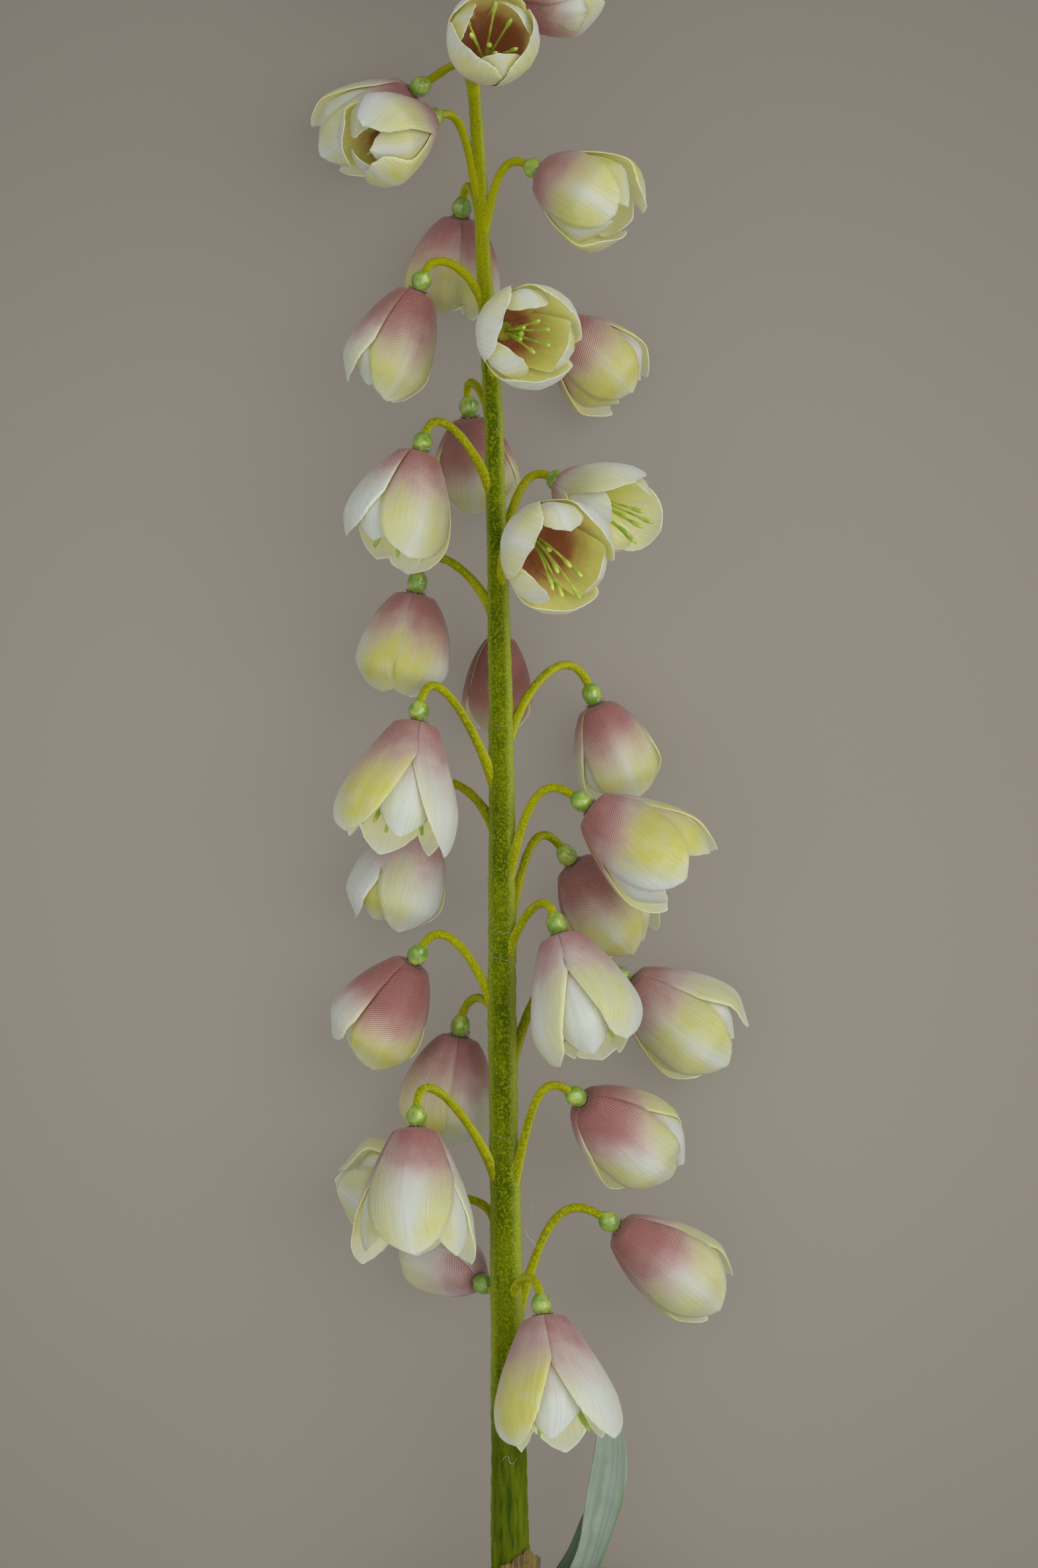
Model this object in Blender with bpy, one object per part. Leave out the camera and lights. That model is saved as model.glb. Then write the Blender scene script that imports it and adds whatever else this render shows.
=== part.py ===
"""A cut fritillary flower stem that lies on its side.

The stem lies along Y with its tip at +Y. It carries nodding bells on arched stalks all round,
a few buds at the tip and a whorl of leaves near the cut end. Lengths below are in millimetres.
The stem's own axis is the zero of height while the pieces are made; at the end the whole flower
is moved so that it lies on z = 0 with its box centred on the origin.
"""
import math

import bpy
import numpy as np

MM = 0.001                 # metres in a millimetre
FLOOR = -27.0              # the surface that it lies on, below the stem's axis
GAP = 0.3                  # between pieces that touch

# Stem: (y, x, width) from the cut end to the tip
STEM_LINE = [
    (-262.0, -0.5, 9.0), (-225.0, -1.0, 9.0), (-185.0, -1.6, 8.8), (-165.5, -1.8, 8.3),
    (-138.0, -2.2, 7.4), (-94.0, -2.8, 6.6), (-71.5, -3.2, 6.0), (-54.5, -3.5, 6.1),
    (-14.5, -3.6, 5.6), (11.0, -3.8, 5.2), (31.0, -4.2, 4.8), (56.0, -4.8, 4.1),
    (79.5, -5.5, 4.0), (109.0, -7.4, 3.2), (132.0, -8.5, 2.8), (165.0, -10.5, 2.4),
    (190.0, -10.0, 1.8), (204.0, -9.0, 1.4),
]
STEM_SIDES = 8

STALK_RADIUS = 0.75        # the arched stalk of each bell
STALK_SIDES = 5
STALK_STEPS = 5
STALK_LEAN = 0.32          # how far a stalk leans out where it leaves the stem
STALK_RISE = 0.55          # share of the span that it first runs up the stem
STALK_DROP = 0.45          # share of the span over which it comes down to the bell
NUB = [(-4.0, 0.8), (-3.1, 1.5), (-1.8, 1.65), (-0.65, 1.3)]   # bead behind a bell: (along, radius)
PIN = [(-0.6, 0.9), (2.4, 0.8)]                                # through the bell's base
STYLE_REACH = 0.55         # share of a bell's length
STYLE_RADIUS = 0.7         # stands for the bundle of stamens in a closed bell
STAMEN_RADIUS = 0.4
STAMEN_REACH = 0.6
STAMEN_SPREAD = 0.17

PETAL_THICK = 0.6
PETAL_LAYER = 0.65         # outer petals lie this far out of the bell's surface, inner ones in
CAP_HOLE = 1.25            # the stalk's pin passes through here
CAP_RIM = 0.03             # share of the length at which the petals leave the cap
PETAL_ROWS = [0.22, 0.7, 1.0]
PETALS = 6

# A bell's side: share of length, share of radius; the mouth is set for each bell
BELL_SIDE = [(0.03, 0.44), (0.15, 0.68), (0.32, 0.9), (0.55, 1.0), (0.72, 1.0)]
PETAL_SECTOR = math.radians(29.5)   # half angle of a petal at its first row, where the layers part
PETAL_HALF = [0.265, 0.09]          # half width at its last rows, as a share of the bell's length

# Bells: base x, y, z; heading in the lying plane; tilt up from it; turn about its own axis;
# length; radius; mouth radius as a share of radius; y of its joint on the stem; stamens; rests
BELLS = [
    (-7.5, 150.0, 14.0, 63, 80, 21, 22.0, 10.0, 0.95, 147.0, 6, False),
    (-4.0, 166.0, 5.0, 0, 0, 0, 22.0, 10.0, 0.8, 158.0, 0, False),
    (-23.0, 148.0, -9.0, 213, -12, 10, 22.5, 9.5, 0.85, 148.0, 0, True),
    (-19.5, 139.5, 6.0, 210, 45, -40, 22.5, 9.6, 0.95, 125.5, 6, False),
    (5.0, 128.5, 6.0, -31, 25, 0, 22.5, 10.3, 0.85, 117.5, 0, False),
    (-12.5, 121.0, -14.0, -98, -14, 60, 21.0, 10.0, 0.8, 118.5, 0, True),
    (-21.5, 104.0, 2.0, -112, 0, -19, 23.5, 9.2, 0.85, 102.0, 3, False),
    (-3.5, 95.0, 10.0, -22, 68, -3, 23.0, 10.6, 1.0, 85.5, 6, False),
    (8.5, 98.0, -10.0, -43, -10, 8, 21.0, 10.0, 0.8, 93.0, 0, True),
    (-10.5, 78.5, -14.0, -84, -10, -10, 20.5, 9.2, 0.8, 75.5, 0, True),
    (-21.0, 69.5, 6.0, -106, 12, -40, 23.5, 11.2, 0.95, 61.5, 6, False),
    (9.5, 63.5, -3.0, -32, 40, 35, 22.0, 10.0, 0.9, 49.5, 3, False),
    (1.5, 52.5, 13.0, -40, 59, -16, 24.0, 12.0, 0.95, 42.0, 6, False),
    (-22.0, 40.5, -4.5, -101, -4, 55, 22.0, 9.9, 0.8, 35.5, 0, False),
    (-4.0, 31.5, -14.0, -92, -10, 0, 20.5, 7.2, 0.75, 26.0, 0, True),
    (16.5, 17.0, -11.0, -69, -6, -5, 21.5, 9.0, 0.8, 7.5, 0, True),
    (-21.5, 13.0, 8.0, -101, 10, 50, 27.0, 12.4, 0.95, -1.5, 3, False),
    (-22.0, -8.5, -12.0, -106, -5, -32, 23.0, 10.4, 0.85, -11.5, 0, True),
    (15.0, -5.0, 8.0, -36, 5, 0, 26.0, 11.4, 0.95, -20.5, 0, False),
    (11.5, -17.0, -14.0, -54, -12, -15, 22.5, 9.8, 0.8, -33.5, 0, True),
    (8.5, -31.5, 10.0, -73, 10, 60, 27.0, 11.5, 0.9, -37.0, 3, False),
    (23.5, -42.5, -9.0, -36, -6, 8, 26.0, 11.2, 0.85, -61.5, 0, True),
    (-22.5, -38.0, -2.0, -119, -15, -45, 23.5, 9.8, 0.85, -48.5, 0, False),
    (-13.0, -54.0, -16.0, -101, -8, 51, 22.5, 10.2, 0.8, -50.5, 0, True),
    (13.5, -67.0, 4.0, -39, -30, 0, 24.5, 10.3, 0.85, -86.5, 0, False),
    (-21.5, -72.0, 10.0, -91, 8, 5, 27.5, 12.6, 1.15, -85.0, 3, False),
    (-18.5, -82.5, -11.0, -150, 0, 20, 18.0, 8.5, 0.8, -98.5, 0, False),
    (-9.0, -105.5, -7.0, 152, -45, 30, 19.0, 8.2, 0.85, -113.0, 0, False),
    (21.0, -94.0, -2.0, -35, -8, -5, 27.0, 9.4, 0.8, -114.5, 0, False),
    (5.0, -111.0, 14.0, -82, 14, 46, 27.5, 12.4, 1.12, -109.0, 3, False),
    (-1.0, 187.0, -4.0, -32, -8, 15, 17.0, 6.8, 0.7, 181.0, 0, False),
    (-19.0, 183.5, 2.0, 205, 6, -20, 17.5, 7.0, 0.7, 176.0, 0, False),
]

# Buds: base x, y, z; heading; tilt; length; radius; y of its joint
BUDS = [
    (-9.0, 211.0, 0.5, 80, 5, 11.0, 2.6, 200.0),
    (-15.5, 201.0, -3.0, 190, -10, 12.5, 3.2, 194.0),
    (-2.5, 204.0, 1.5, -5, 12, 12.0, 3.0, 196.5),
    (-9.5, 195.0, 8.0, -70, 62, 12.5, 3.2, 188.5),
    (-7.5, 193.0, -8.5, -40, -52, 12.5, 3.2, 187.0),
]
BUD_SIDE = [(0.0, 0.45), (0.25, 0.95), (0.6, 1.0), (0.88, 0.55), (1.0, 0.16)]
BUD_SIDES = 6

# Papery sheath round the stem at the leaf whorl
SHEATH_ENDS = (-191.0, -163.0)   # y of its two ends
SHEATH_WALL = 0.6
SHEATH_SIDES = 12

# Leaves: angle of the root round the stem (0 is right, 90 is up), y of the root, the points that
# the midrib then follows, the direction that the face of the blade turns to, half width
LEAVES = [
    (0, -187.0, [(7.5, -175, -1.5), (12.0, -162, -3), (16.0, -150, -4.5), (18.5, -139, -6), (18.0, -128, -8)],
     (0.5, 0.2, 1.0), 4.2),
    (185, -186.0, [(-11, -177, -2), (-19, -171, -5), (-29, -174, -10), (-38, -186, -17), (-42, -203, -24)],
     (0.2, 0.9, 1.0), 5.5),
    (75, -187.5, [(2, -178, 10), (7, -173, 15), (15, -175, 18), (25, -187, 16), (32, -204, 8), (35, -219, -2)],
     (-0.2, 0.9, 1.0), 5.2),
    (-50, -186.5, [(6, -178, -7), (14, -173, -11), (26, -175, -16), (37, -185, -20), (44, -199, -23.5)],
     (-0.2, 0.8, 1.0), 5.0),
]
LEAF_THICK = 0.7
LEAF_ROOT = 0.32           # half width at the root, as a share of the widest
LEAF_CHANNEL = 0.35        # depth of the fold along the midrib, as a share of half width
LEAF_LAP = 5.0             # length of root that lies along the sheath
LEAF_TWIST = 0.45          # share of the length over which the blade turns to its face direction
LEAF_STEPS = 8

COLOURS = {
    "stem": ((0.13, 0.17, 0.01), 0.75),
    "petal": ((0.55, 0.58, 0.36), 0.7),
    "bud": ((0.42, 0.47, 0.16), 0.7),
    "sheath": ((0.16, 0.09, 0.04), 0.8),
    "leaf": ((0.28, 0.34, 0.24), 0.45),
}


def unit(vector):
    """The vector at length one."""
    vector = np.asarray(vector, dtype=float)
    return vector / np.linalg.norm(vector)


def material(name, kind):
    """A new material in one of the flower's colours."""
    colour, roughness = COLOURS[kind]
    made = bpy.data.materials.new(name)
    made.use_nodes = True
    shader = made.node_tree.nodes["Principled BSDF"]
    shader.inputs["Base Color"].default_value = (*colour, 1.0)
    shader.inputs["Roughness"].default_value = roughness
    made.diffuse_color = (*colour, 1.0)
    return made


def new_object(name, points, faces, collection):
    """A mesh object from points in millimetres."""
    mesh = bpy.data.meshes.new(name)
    mesh.from_pydata((np.asarray(points) * MM).tolist(), [], faces)
    mesh.update()
    made = bpy.data.objects.new(name, mesh)
    collection.objects.link(made)
    return made


def grid_faces(rows, columns, start, flip):
    """Triangles of a grid of points, all split along the same diagonal."""
    faces = []
    for row in range(rows - 1):
        for column in range(columns - 1):
            a = start + row * columns + column
            b, c, d = a + 1, a + columns + 1, a + columns
            pair = [(a, b, c), (a, c, d)]
            faces += [face[::-1] for face in pair] if flip else pair
    return faces


def blade(middle, normals, thickness):
    """A thin closed solid on both sides of a grid of points; rows run along it."""
    rows, columns = middle.shape[:2]
    top = middle + normals * thickness / 2
    bottom = middle - normals * thickness / 2
    points = np.concatenate([top.reshape(-1, 3), bottom.reshape(-1, 3)])
    count = rows * columns
    faces = grid_faces(rows, columns, 0, False) + grid_faces(rows, columns, count, True)
    rim = [column for column in range(columns)]
    rim += [row * columns + columns - 1 for row in range(1, rows)]
    rim += [(rows - 1) * columns + column for column in range(columns - 2, -1, -1)]
    rim += [row * columns for row in range(rows - 2, 0, -1)]
    for here, there in zip(rim, rim[1:] + rim[:1]):
        faces += [(there, here, here + count), (there, here + count, there + count)]
    return points, faces


def tube(path, radii, sides):
    """A closed tube of round sections along a path, its sections turned as little as possible."""
    path = np.asarray(path, dtype=float)
    ahead = np.gradient(path, axis=0)
    ahead /= np.linalg.norm(ahead, axis=1)[:, None]
    across = unit(np.cross(ahead[0], (0.31, 0.17, 0.94)))
    turns = 2 * math.pi * np.arange(sides) / sides
    rings = []
    for centre, direction, radius in zip(path, ahead, radii):
        across = unit(across - direction * across.dot(direction))
        other = np.cross(direction, across)
        rings.append(centre + radius * (np.outer(np.cos(turns), across) + np.outer(np.sin(turns), other)))
    return loft(rings)


def loft(rings):
    """Rings of points joined into one closed solid, its two ends filled."""
    sides = len(rings[0])
    points = np.concatenate(rings)
    faces = []
    for ring in range(len(rings) - 1):
        for side in range(sides):
            a = ring * sides + side
            b = ring * sides + (side + 1) % sides
            faces += [(a, b, b + sides), (a, b + sides, a + sides)]
    last = (len(rings) - 1) * sides
    faces.append(tuple(range(sides - 1, -1, -1)))
    faces.append(tuple(range(last, last + sides)))
    return points, faces


def stem_point(height):
    """The stem's centre and half width at a place along it."""
    ys, xs, widths = np.array(STEM_LINE).T
    return np.array([np.interp(height, ys, xs), height, 0.0]), np.interp(height, ys, widths) / 2


def directions(heading, tilt, turn=0.0):
    """A bell's axis from base to mouth, its face side and the side to the right of that."""
    h, t, s = (math.radians(angle) for angle in (heading, tilt, turn))
    axis = np.array([math.cos(h) * math.cos(t), math.sin(h) * math.cos(t), math.sin(t)])
    side = unit(np.cross((0.0, 0.0, 1.0), axis))
    face = np.cross(axis, side)
    return axis, face * math.cos(s) + side * math.sin(s), side * math.cos(s) - face * math.sin(s)


def bell_profile(length, radius, mouth):
    """Distance along the axis and radius of the cap's hole, its rim and each row of the petals."""
    shares, radii = np.array(BELL_SIDE + [(1.0, mouth)]).T
    rows = np.array([0.0, CAP_RIM] + PETAL_ROWS)
    out = np.interp(rows, shares, radii) * radius
    out[0] = CAP_HOLE
    return rows * length, out


def bell_mesh(bell):
    """One closed solid: a cap with a hole, and three outer and three inner petals on its rim."""
    axis, face, side = bell["axes"]
    along, out = bell_profile(bell["length"], bell["radius"], bell["mouth"])
    slope_along, slope_out = np.gradient(along), np.gradient(out)
    slope = np.hypot(slope_along, slope_out)

    def place(row, turn, layer):
        """The outside and inside points of a row at some turns, moved out by the layer."""
        around = np.outer(np.cos(turn), face) + np.outer(np.sin(turn), side)
        normal = (slope_along[row] * around - slope_out[row] * axis) / slope[row]
        middle = bell["base"] + along[row] * axis + out[row] * around + layer * normal
        return middle + normal * PETAL_THICK / 2, middle - normal * PETAL_THICK / 2

    around_count = 2 * PETALS
    turns = 2 * math.pi * np.arange(around_count) / around_count
    points = np.concatenate([*place(0, turns, 0.0), *place(1, turns, 0.0)])
    hole_top, hole_low, rim_top, rim_low = np.arange(4 * around_count).reshape(4, around_count)
    faces = []
    for here in range(around_count):
        there = (here + 1) % around_count
        faces += quad(hole_top[here], hole_top[there], rim_top[there], rim_top[here])
        faces += quad(hole_low[there], hole_low[here], rim_low[here], rim_low[there])
        faces += quad(hole_top[there], hole_top[here], hole_low[here], hole_low[there])
    widths = np.array(PETAL_HALF) * bell["length"]
    halves = [PETAL_SECTOR, *(widths / out[-len(widths):])]
    for number in range(PETALS):
        rim = (np.array([-1, 0, 1]) + 2 * number) % around_count
        top, low = [rim_top[rim]], [rim_low[rim]]
        layer = -PETAL_LAYER if number % 2 else PETAL_LAYER
        for row, half in enumerate(halves, 2):
            turn = 2 * math.pi * number / PETALS + half * np.array([-1, 0, 1])
            start = len(points)
            points = np.concatenate([points, *place(row, turn, layer)])
            top.append(np.arange(start, start + 3))
            low.append(np.arange(start + 3, start + 6))
        faces += petal_faces(top, low)
    return points, faces


def quad(a, b, c, d):
    """Two triangles for four corners, split from the first to the third."""
    a, b, c, d = int(a), int(b), int(c), int(d)
    return [(a, b, c), (a, c, d)]


def petal_faces(top, low):
    """The faces of one petal: outside, inside, both edges and the tip; the rim stays open."""
    faces = []
    for row in range(len(top) - 1):
        for column in range(2):
            faces += quad(top[row][column], top[row][column + 1],
                          top[row + 1][column + 1], top[row + 1][column])
            faces += [face[::-1] for face in quad(low[row][column], low[row][column + 1],
                                                  low[row + 1][column + 1], low[row + 1][column])]
        faces += quad(top[row][0], top[row + 1][0], low[row + 1][0], low[row][0])
        faces += quad(top[row + 1][2], top[row][2], low[row][2], low[row + 1][2])
    for column in range(2):
        faces += quad(top[-1][column], top[-1][column + 1], low[-1][column + 1], low[-1][column])
    return faces


def read_bell(row):
    """The values of one bell, its base lowered or raised so that it meets or clears the floor."""
    x, y, z, heading, tilt, turn, length, radius, mouth, joint, stamens, rests = row
    bell = {"base": np.array([x, y, z]), "axes": directions(heading, tilt, turn), "length": length,
            "radius": radius, "mouth": mouth, "joint": joint, "stamens": stamens}
    lowest = bell_mesh(bell)[0][:, 2].min()
    if rests or lowest < FLOOR + 1.0:
        bell["base"][2] += FLOOR - lowest + (0.0 if rests else 1.0)
    return bell


def union(name, solids, kind):
    """One solid from many overlapping ones, by a single union on a collection."""
    scene = bpy.context.scene.collection
    others = bpy.data.collections.new(name + "_pieces")
    scene.children.link(others)
    made = new_object(name, *solids[0], scene)
    for number, (points, faces) in enumerate(solids[1:]):
        new_object(f"{name}_piece_{number}", points, faces, others)
    join = made.modifiers.new("Join", "BOOLEAN")
    join.operation = "UNION"
    join.operand_type = "COLLECTION"
    join.collection = others
    bpy.context.view_layer.update()
    shaped = made.evaluated_get(bpy.context.evaluated_depsgraph_get())
    joined = bpy.data.meshes.new_from_object(shaped)
    made.modifiers.clear()
    made.data = joined
    for piece in list(others.objects):
        bpy.data.objects.remove(piece, do_unlink=True)
    bpy.data.collections.remove(others)
    made.data.materials.clear()
    made.data.materials.append(material(name, kind))
    return made


def bell_node(name, bell):
    """A bell as an object of its own."""
    made = new_object(name, *bell_mesh(bell), bpy.context.scene.collection)
    made.data.materials.append(material(name, "petal"))
    return made


def stalk_path(joint, base, axis):
    """A stalk's points: it runs up the stem, arches over and comes down along the bell's axis."""
    centre, half_width = stem_point(joint)
    end = base + axis * NUB[0][0]
    outward = end - centre
    outward[1] = 0.0
    outward = unit(outward)
    start = centre + outward * half_width * 0.5
    span = np.linalg.norm(end - start)
    leave = unit(np.array([0.0, 1.0, 0.0]) + outward * STALK_LEAN)
    controls = [start, start + leave * span * STALK_RISE, end - axis * span * STALK_DROP, end]
    share = np.linspace(0, 1, STALK_STEPS + 1)[:, None]
    weights = [(1 - share) ** 3, 3 * share * (1 - share) ** 2, 3 * share ** 2 * (1 - share), share ** 3]
    return sum(weight * point for weight, point in zip(weights, controls))


def bell_stalk(bell):
    """A bell's stalk, the bead behind the bell, the pin through its base and the style."""
    axis = bell["axes"][0]
    path = stalk_path(bell["joint"], bell["base"], axis)
    beyond = NUB[1:] + PIN + [(bell["length"] * STYLE_REACH, STYLE_RADIUS)]
    points = [*path, *(bell["base"] + axis * along for along, radius in beyond)]
    radii = [STALK_RADIUS] * len(path) + [radius for along, radius in beyond]
    return tube(points, radii, STALK_SIDES)


def bell_stamens(bell):
    """Stamens that fan out from the pin inside a bell."""
    axis, face, side = bell["axes"]
    solids = []
    for number in range(bell["stamens"]):
        turn = 2 * math.pi * (number + 0.25) / bell["stamens"]
        around = face * math.cos(turn) + side * math.sin(turn)
        start = bell["base"] + axis * 1.6
        end = bell["base"] + bell["length"] * (axis * STAMEN_REACH + around * STAMEN_SPREAD)
        solids.append(tube([start, end], [STAMEN_RADIUS] * 2, 3))
    return solids


def read_bud(row):
    """The values of one bud."""
    x, y, z, heading, tilt, length, radius, joint = row
    return {"base": np.array([x, y, z]), "axes": directions(heading, tilt), "length": length,
            "radius": radius, "joint": joint}


def bud_node(name, bud):
    """A closed bud, round in section and pointed at its tip."""
    axis = bud["axes"][0]
    path = [bud["base"] + axis * share * bud["length"] for share, radius in BUD_SIDE]
    radii = [radius * bud["radius"] for share, radius in BUD_SIDE]
    points, faces = tube(path, radii, BUD_SIDES)
    made = new_object(name, points, faces, bpy.context.scene.collection)
    made.data.materials.append(material(name, "bud"))
    return made


def bud_stalk(bud):
    """A bud's stalk, which ends just short of the bud."""
    axis = bud["axes"][0]
    path = stalk_path(bud["joint"], bud["base"] + axis * (-NUB[0][0] - GAP), axis)
    radii = [STALK_RADIUS * 0.8] * (len(path) - 1) + [STALK_RADIUS * 1.2]
    return tube(path, radii, STALK_SIDES)


def main_stem():
    """The stem itself, from its flat cut end to its tip."""
    path = [(x, y, 0.0) for y, x, width in STEM_LINE]
    return tube(path, [width / 2 for y, x, width in STEM_LINE], STEM_SIDES)


def stem_node(bells, buds):
    """The green body: the stem, every stalk with its bead, pin and style, the stamens and bud stalks."""
    solids = [main_stem()]
    for bell in bells:
        solids.append(bell_stalk(bell))
        solids += bell_stamens(bell)
    solids += [bud_stalk(bud) for bud in buds]
    return union("stem", solids, "stem")


def sheath_node():
    """The papery sleeve round the stem where the leaves leave it."""
    low, high = SHEATH_ENDS
    loops = []
    turns = 2 * math.pi * np.arange(SHEATH_SIDES) / SHEATH_SIDES
    for y, extra in ((low, SHEATH_WALL), (high, SHEATH_WALL), (high, 0.0), (low, 0.0)):
        centre, half_width = stem_point(y)
        reach = half_width + GAP + extra
        loops.append(centre + reach * np.stack([np.cos(turns), 0 * turns, -np.sin(turns)], axis=1))
    points = np.concatenate(loops)
    faces = []
    for loop in range(4):
        for side in range(SHEATH_SIDES):
            a = loop * SHEATH_SIDES + side
            b = loop * SHEATH_SIDES + (side + 1) % SHEATH_SIDES
            c = (loop + 1) % 4 * SHEATH_SIDES + (side + 1) % SHEATH_SIDES
            d = (loop + 1) % 4 * SHEATH_SIDES + side
            faces += [(a, b, c), (a, c, d)]
    made = new_object("sheath", points, faces, bpy.context.scene.collection)
    made.data.materials.append(material("sheath", "sheath"))
    return made


def leaf_midrib(angle, root, points, half_width):
    """A leaf's midrib, its root laid along the sheath, and the outward direction there."""
    turn = math.radians(angle)
    out = np.array([math.cos(turn), 0.0, math.sin(turn)])
    edge = half_width * LEAF_ROOT * LEAF_CHANNEL
    lap = []
    for y in (root, root + LEAF_LAP):
        centre, half = stem_point(y)
        lap.append(centre + out * (half + GAP + SHEATH_WALL + GAP + LEAF_THICK / 2 + edge))
    return np.array(lap + points), out


def leaf_node(name, angle, root, points, facing, half_width):
    """A lance-shaped leaf, folded a little along its midrib, that turns as it leaves the stem."""
    midrib, out = leaf_midrib(angle, root, points, half_width)
    reach = np.concatenate([[0.0], np.cumsum(np.linalg.norm(np.diff(midrib, axis=0), axis=1))])
    steps = np.linspace(0, 1, LEAF_STEPS + 1)
    path = np.stack([np.interp(steps * reach[-1], reach, midrib[:, k]) for k in range(3)], axis=1)
    ahead = np.gradient(path, axis=0)
    ahead /= np.linalg.norm(ahead, axis=1)[:, None]
    turned = np.clip(steps / LEAF_TWIST, 0, 1)[:, None]
    across = np.cross(ahead, unit(facing) * turned - out * (1 - turned))
    across /= np.linalg.norm(across, axis=1)[:, None]
    normals = np.cross(across, ahead)
    swell = LEAF_ROOT + 2.9 * steps * (1 - steps)
    widths = half_width * np.minimum(np.minimum(swell, 1.0), 0.14 + 3.2 * (1 - steps))
    columns = np.array([-1.0, 0.0, 1.0])
    fold = LEAF_CHANNEL * np.abs(columns)
    middle = path[:, None] + widths[:, None, None] * (
        columns[:, None] * across[:, None] + fold[:, None] * normals[:, None])
    solid = blade(middle, np.repeat(normals[:, None], 3, axis=1), LEAF_THICK)
    made = new_object(name, *solid, bpy.context.scene.collection)
    made.data.materials.append(material(name, "leaf"))
    return made


def settle(objects):
    """Move every object so that the flower lies on z = 0, centred on the origin."""
    corners = np.concatenate([[tuple(vertex.co) for vertex in made.data.vertices] for made in objects])
    low, high = corners.min(axis=0), corners.max(axis=0)
    for made in objects:
        made.location = (-(low[0] + high[0]) / 2, -(low[1] + high[1]) / 2, -low[2])


def outward(made):
    """Turn a mesh's faces outward if its volume comes out negative, and shade it smooth."""
    mesh = made.data
    mesh.calc_loop_triangles()
    corners = np.array([tuple(vertex.co) for vertex in mesh.vertices])
    triangles = corners[np.array([tuple(face.vertices) for face in mesh.loop_triangles])]
    if np.einsum("ij,ij->", triangles[:, 0], np.cross(triangles[:, 1], triangles[:, 2])) < 0:
        mesh.flip_normals()
    mesh.shade_smooth()
    mesh.set_sharp_from_angle(angle=math.radians(35))


def main():
    for old in list(bpy.data.objects):
        bpy.data.objects.remove(old, do_unlink=True)
    bells = [read_bell(row) for row in BELLS]
    buds = [read_bud(row) for row in BUDS]
    objects = [stem_node(bells, buds)]
    objects += [bell_node(f"bell_{number:02d}", bell) for number, bell in enumerate(bells, 1)]
    objects += [bud_node(f"bud_{number}", bud) for number, bud in enumerate(buds, 1)]
    objects.append(sheath_node())
    objects += [leaf_node(f"leaf_{number}", *leaf) for number, leaf in enumerate(LEAVES, 1)]
    for made in objects:
        outward(made)
    settle(objects)


main()
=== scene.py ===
import math

import bpy
import numpy as np
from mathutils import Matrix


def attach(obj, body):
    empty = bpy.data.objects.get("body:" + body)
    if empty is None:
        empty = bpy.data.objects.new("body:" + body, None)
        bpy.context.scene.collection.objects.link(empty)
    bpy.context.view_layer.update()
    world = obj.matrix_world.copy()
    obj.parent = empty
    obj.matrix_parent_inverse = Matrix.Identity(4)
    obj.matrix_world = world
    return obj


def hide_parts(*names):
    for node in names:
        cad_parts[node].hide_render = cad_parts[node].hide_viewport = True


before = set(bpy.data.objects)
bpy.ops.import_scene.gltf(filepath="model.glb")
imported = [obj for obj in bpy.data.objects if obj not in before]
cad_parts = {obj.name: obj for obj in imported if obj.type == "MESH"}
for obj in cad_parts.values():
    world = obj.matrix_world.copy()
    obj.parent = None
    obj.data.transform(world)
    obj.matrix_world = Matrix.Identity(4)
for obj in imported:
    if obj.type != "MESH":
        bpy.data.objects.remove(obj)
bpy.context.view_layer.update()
mm = 0.001
print("stage: frame loaded")


def linear(colour):  # a screen colour, each part above 10, as the shader takes it
    return tuple(((part / 255 + 0.055) / 1.055) ** 2.4 for part in colour)


def unit(vector):  # the vector, or each row of it, at length one
    vector = np.asarray(vector, dtype=float)
    return vector / np.linalg.norm(vector, axis=-1, keepdims=True)


def ease(value, low, high):  # 0 below low, 1 above high, an S between
    share = np.clip((value - low) / (high - low), 0, 1)
    return share * share * (3 - 2 * share)


def bulge(value, centre, width):  # a bell curve: 1 at the centre, near 0 two widths away
    return np.exp(-((value - centre) / width) ** 2)


def circle(count):  # even angles round a full turn
    return 2 * math.pi * np.arange(count) / count


def stacked(*values):  # arrays brought to one shape and joined as vectors
    return np.stack(np.broadcast_arrays(*values), axis=-1)


def through(value, pairs):  # a smooth curve through the pairs: cubic pieces
    xs, ys = np.array(pairs, dtype=float).T
    slopes = np.gradient(ys, xs)
    value = np.asarray(value, dtype=float)
    at = np.clip(np.searchsorted(xs, value, side="right") - 1, 0, len(xs) - 2)
    wide = xs[at + 1] - xs[at]
    t = np.clip((value - xs[at]) / wide, 0, 1)
    return ((1 + 2 * t) * (1 - t) ** 2 * ys[at] + t * (1 - t) ** 2 * wide * slopes[at]
            + t * t * (3 - 2 * t) * ys[at + 1] + t * t * (t - 1) * wide * slopes[at + 1])


def lengths(path):  # the way gone along a path at each of its points
    return np.concatenate([[0], np.cumsum(np.linalg.norm(np.diff(path, axis=0), axis=1))])


def curve(t, knots, points):  # a smooth path through the points, which lie at the knots
    return np.stack([through(t, np.stack([knots, points[:, k]], axis=1)) for k in range(3)], axis=1)


def wander(values, seed, terms=5):  # a smooth random curve: sines of rising pitch
    rng = np.random.default_rng(seed)
    total = np.zeros_like(values, dtype=float)
    for term in range(1, terms + 1):
        total += np.sin(values * term * rng.uniform(0.7, 1.3) + rng.uniform(0, 6.28)) / term
    return total / 1.6


def directions(heading, tilt, turn=0.0):  # axis from base to mouth, its face and its side
    h, t, s = (math.radians(angle) for angle in (heading, tilt, turn))
    axis = np.array([math.cos(h) * math.cos(t), math.sin(h) * math.cos(t), math.sin(t)])
    side = unit(np.cross((0.0, 0.0, 1.0), axis))
    face = np.cross(axis, side)
    return axis, face * math.cos(s) + side * math.sin(s), side * math.cos(s) - face * math.sin(s)


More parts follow.
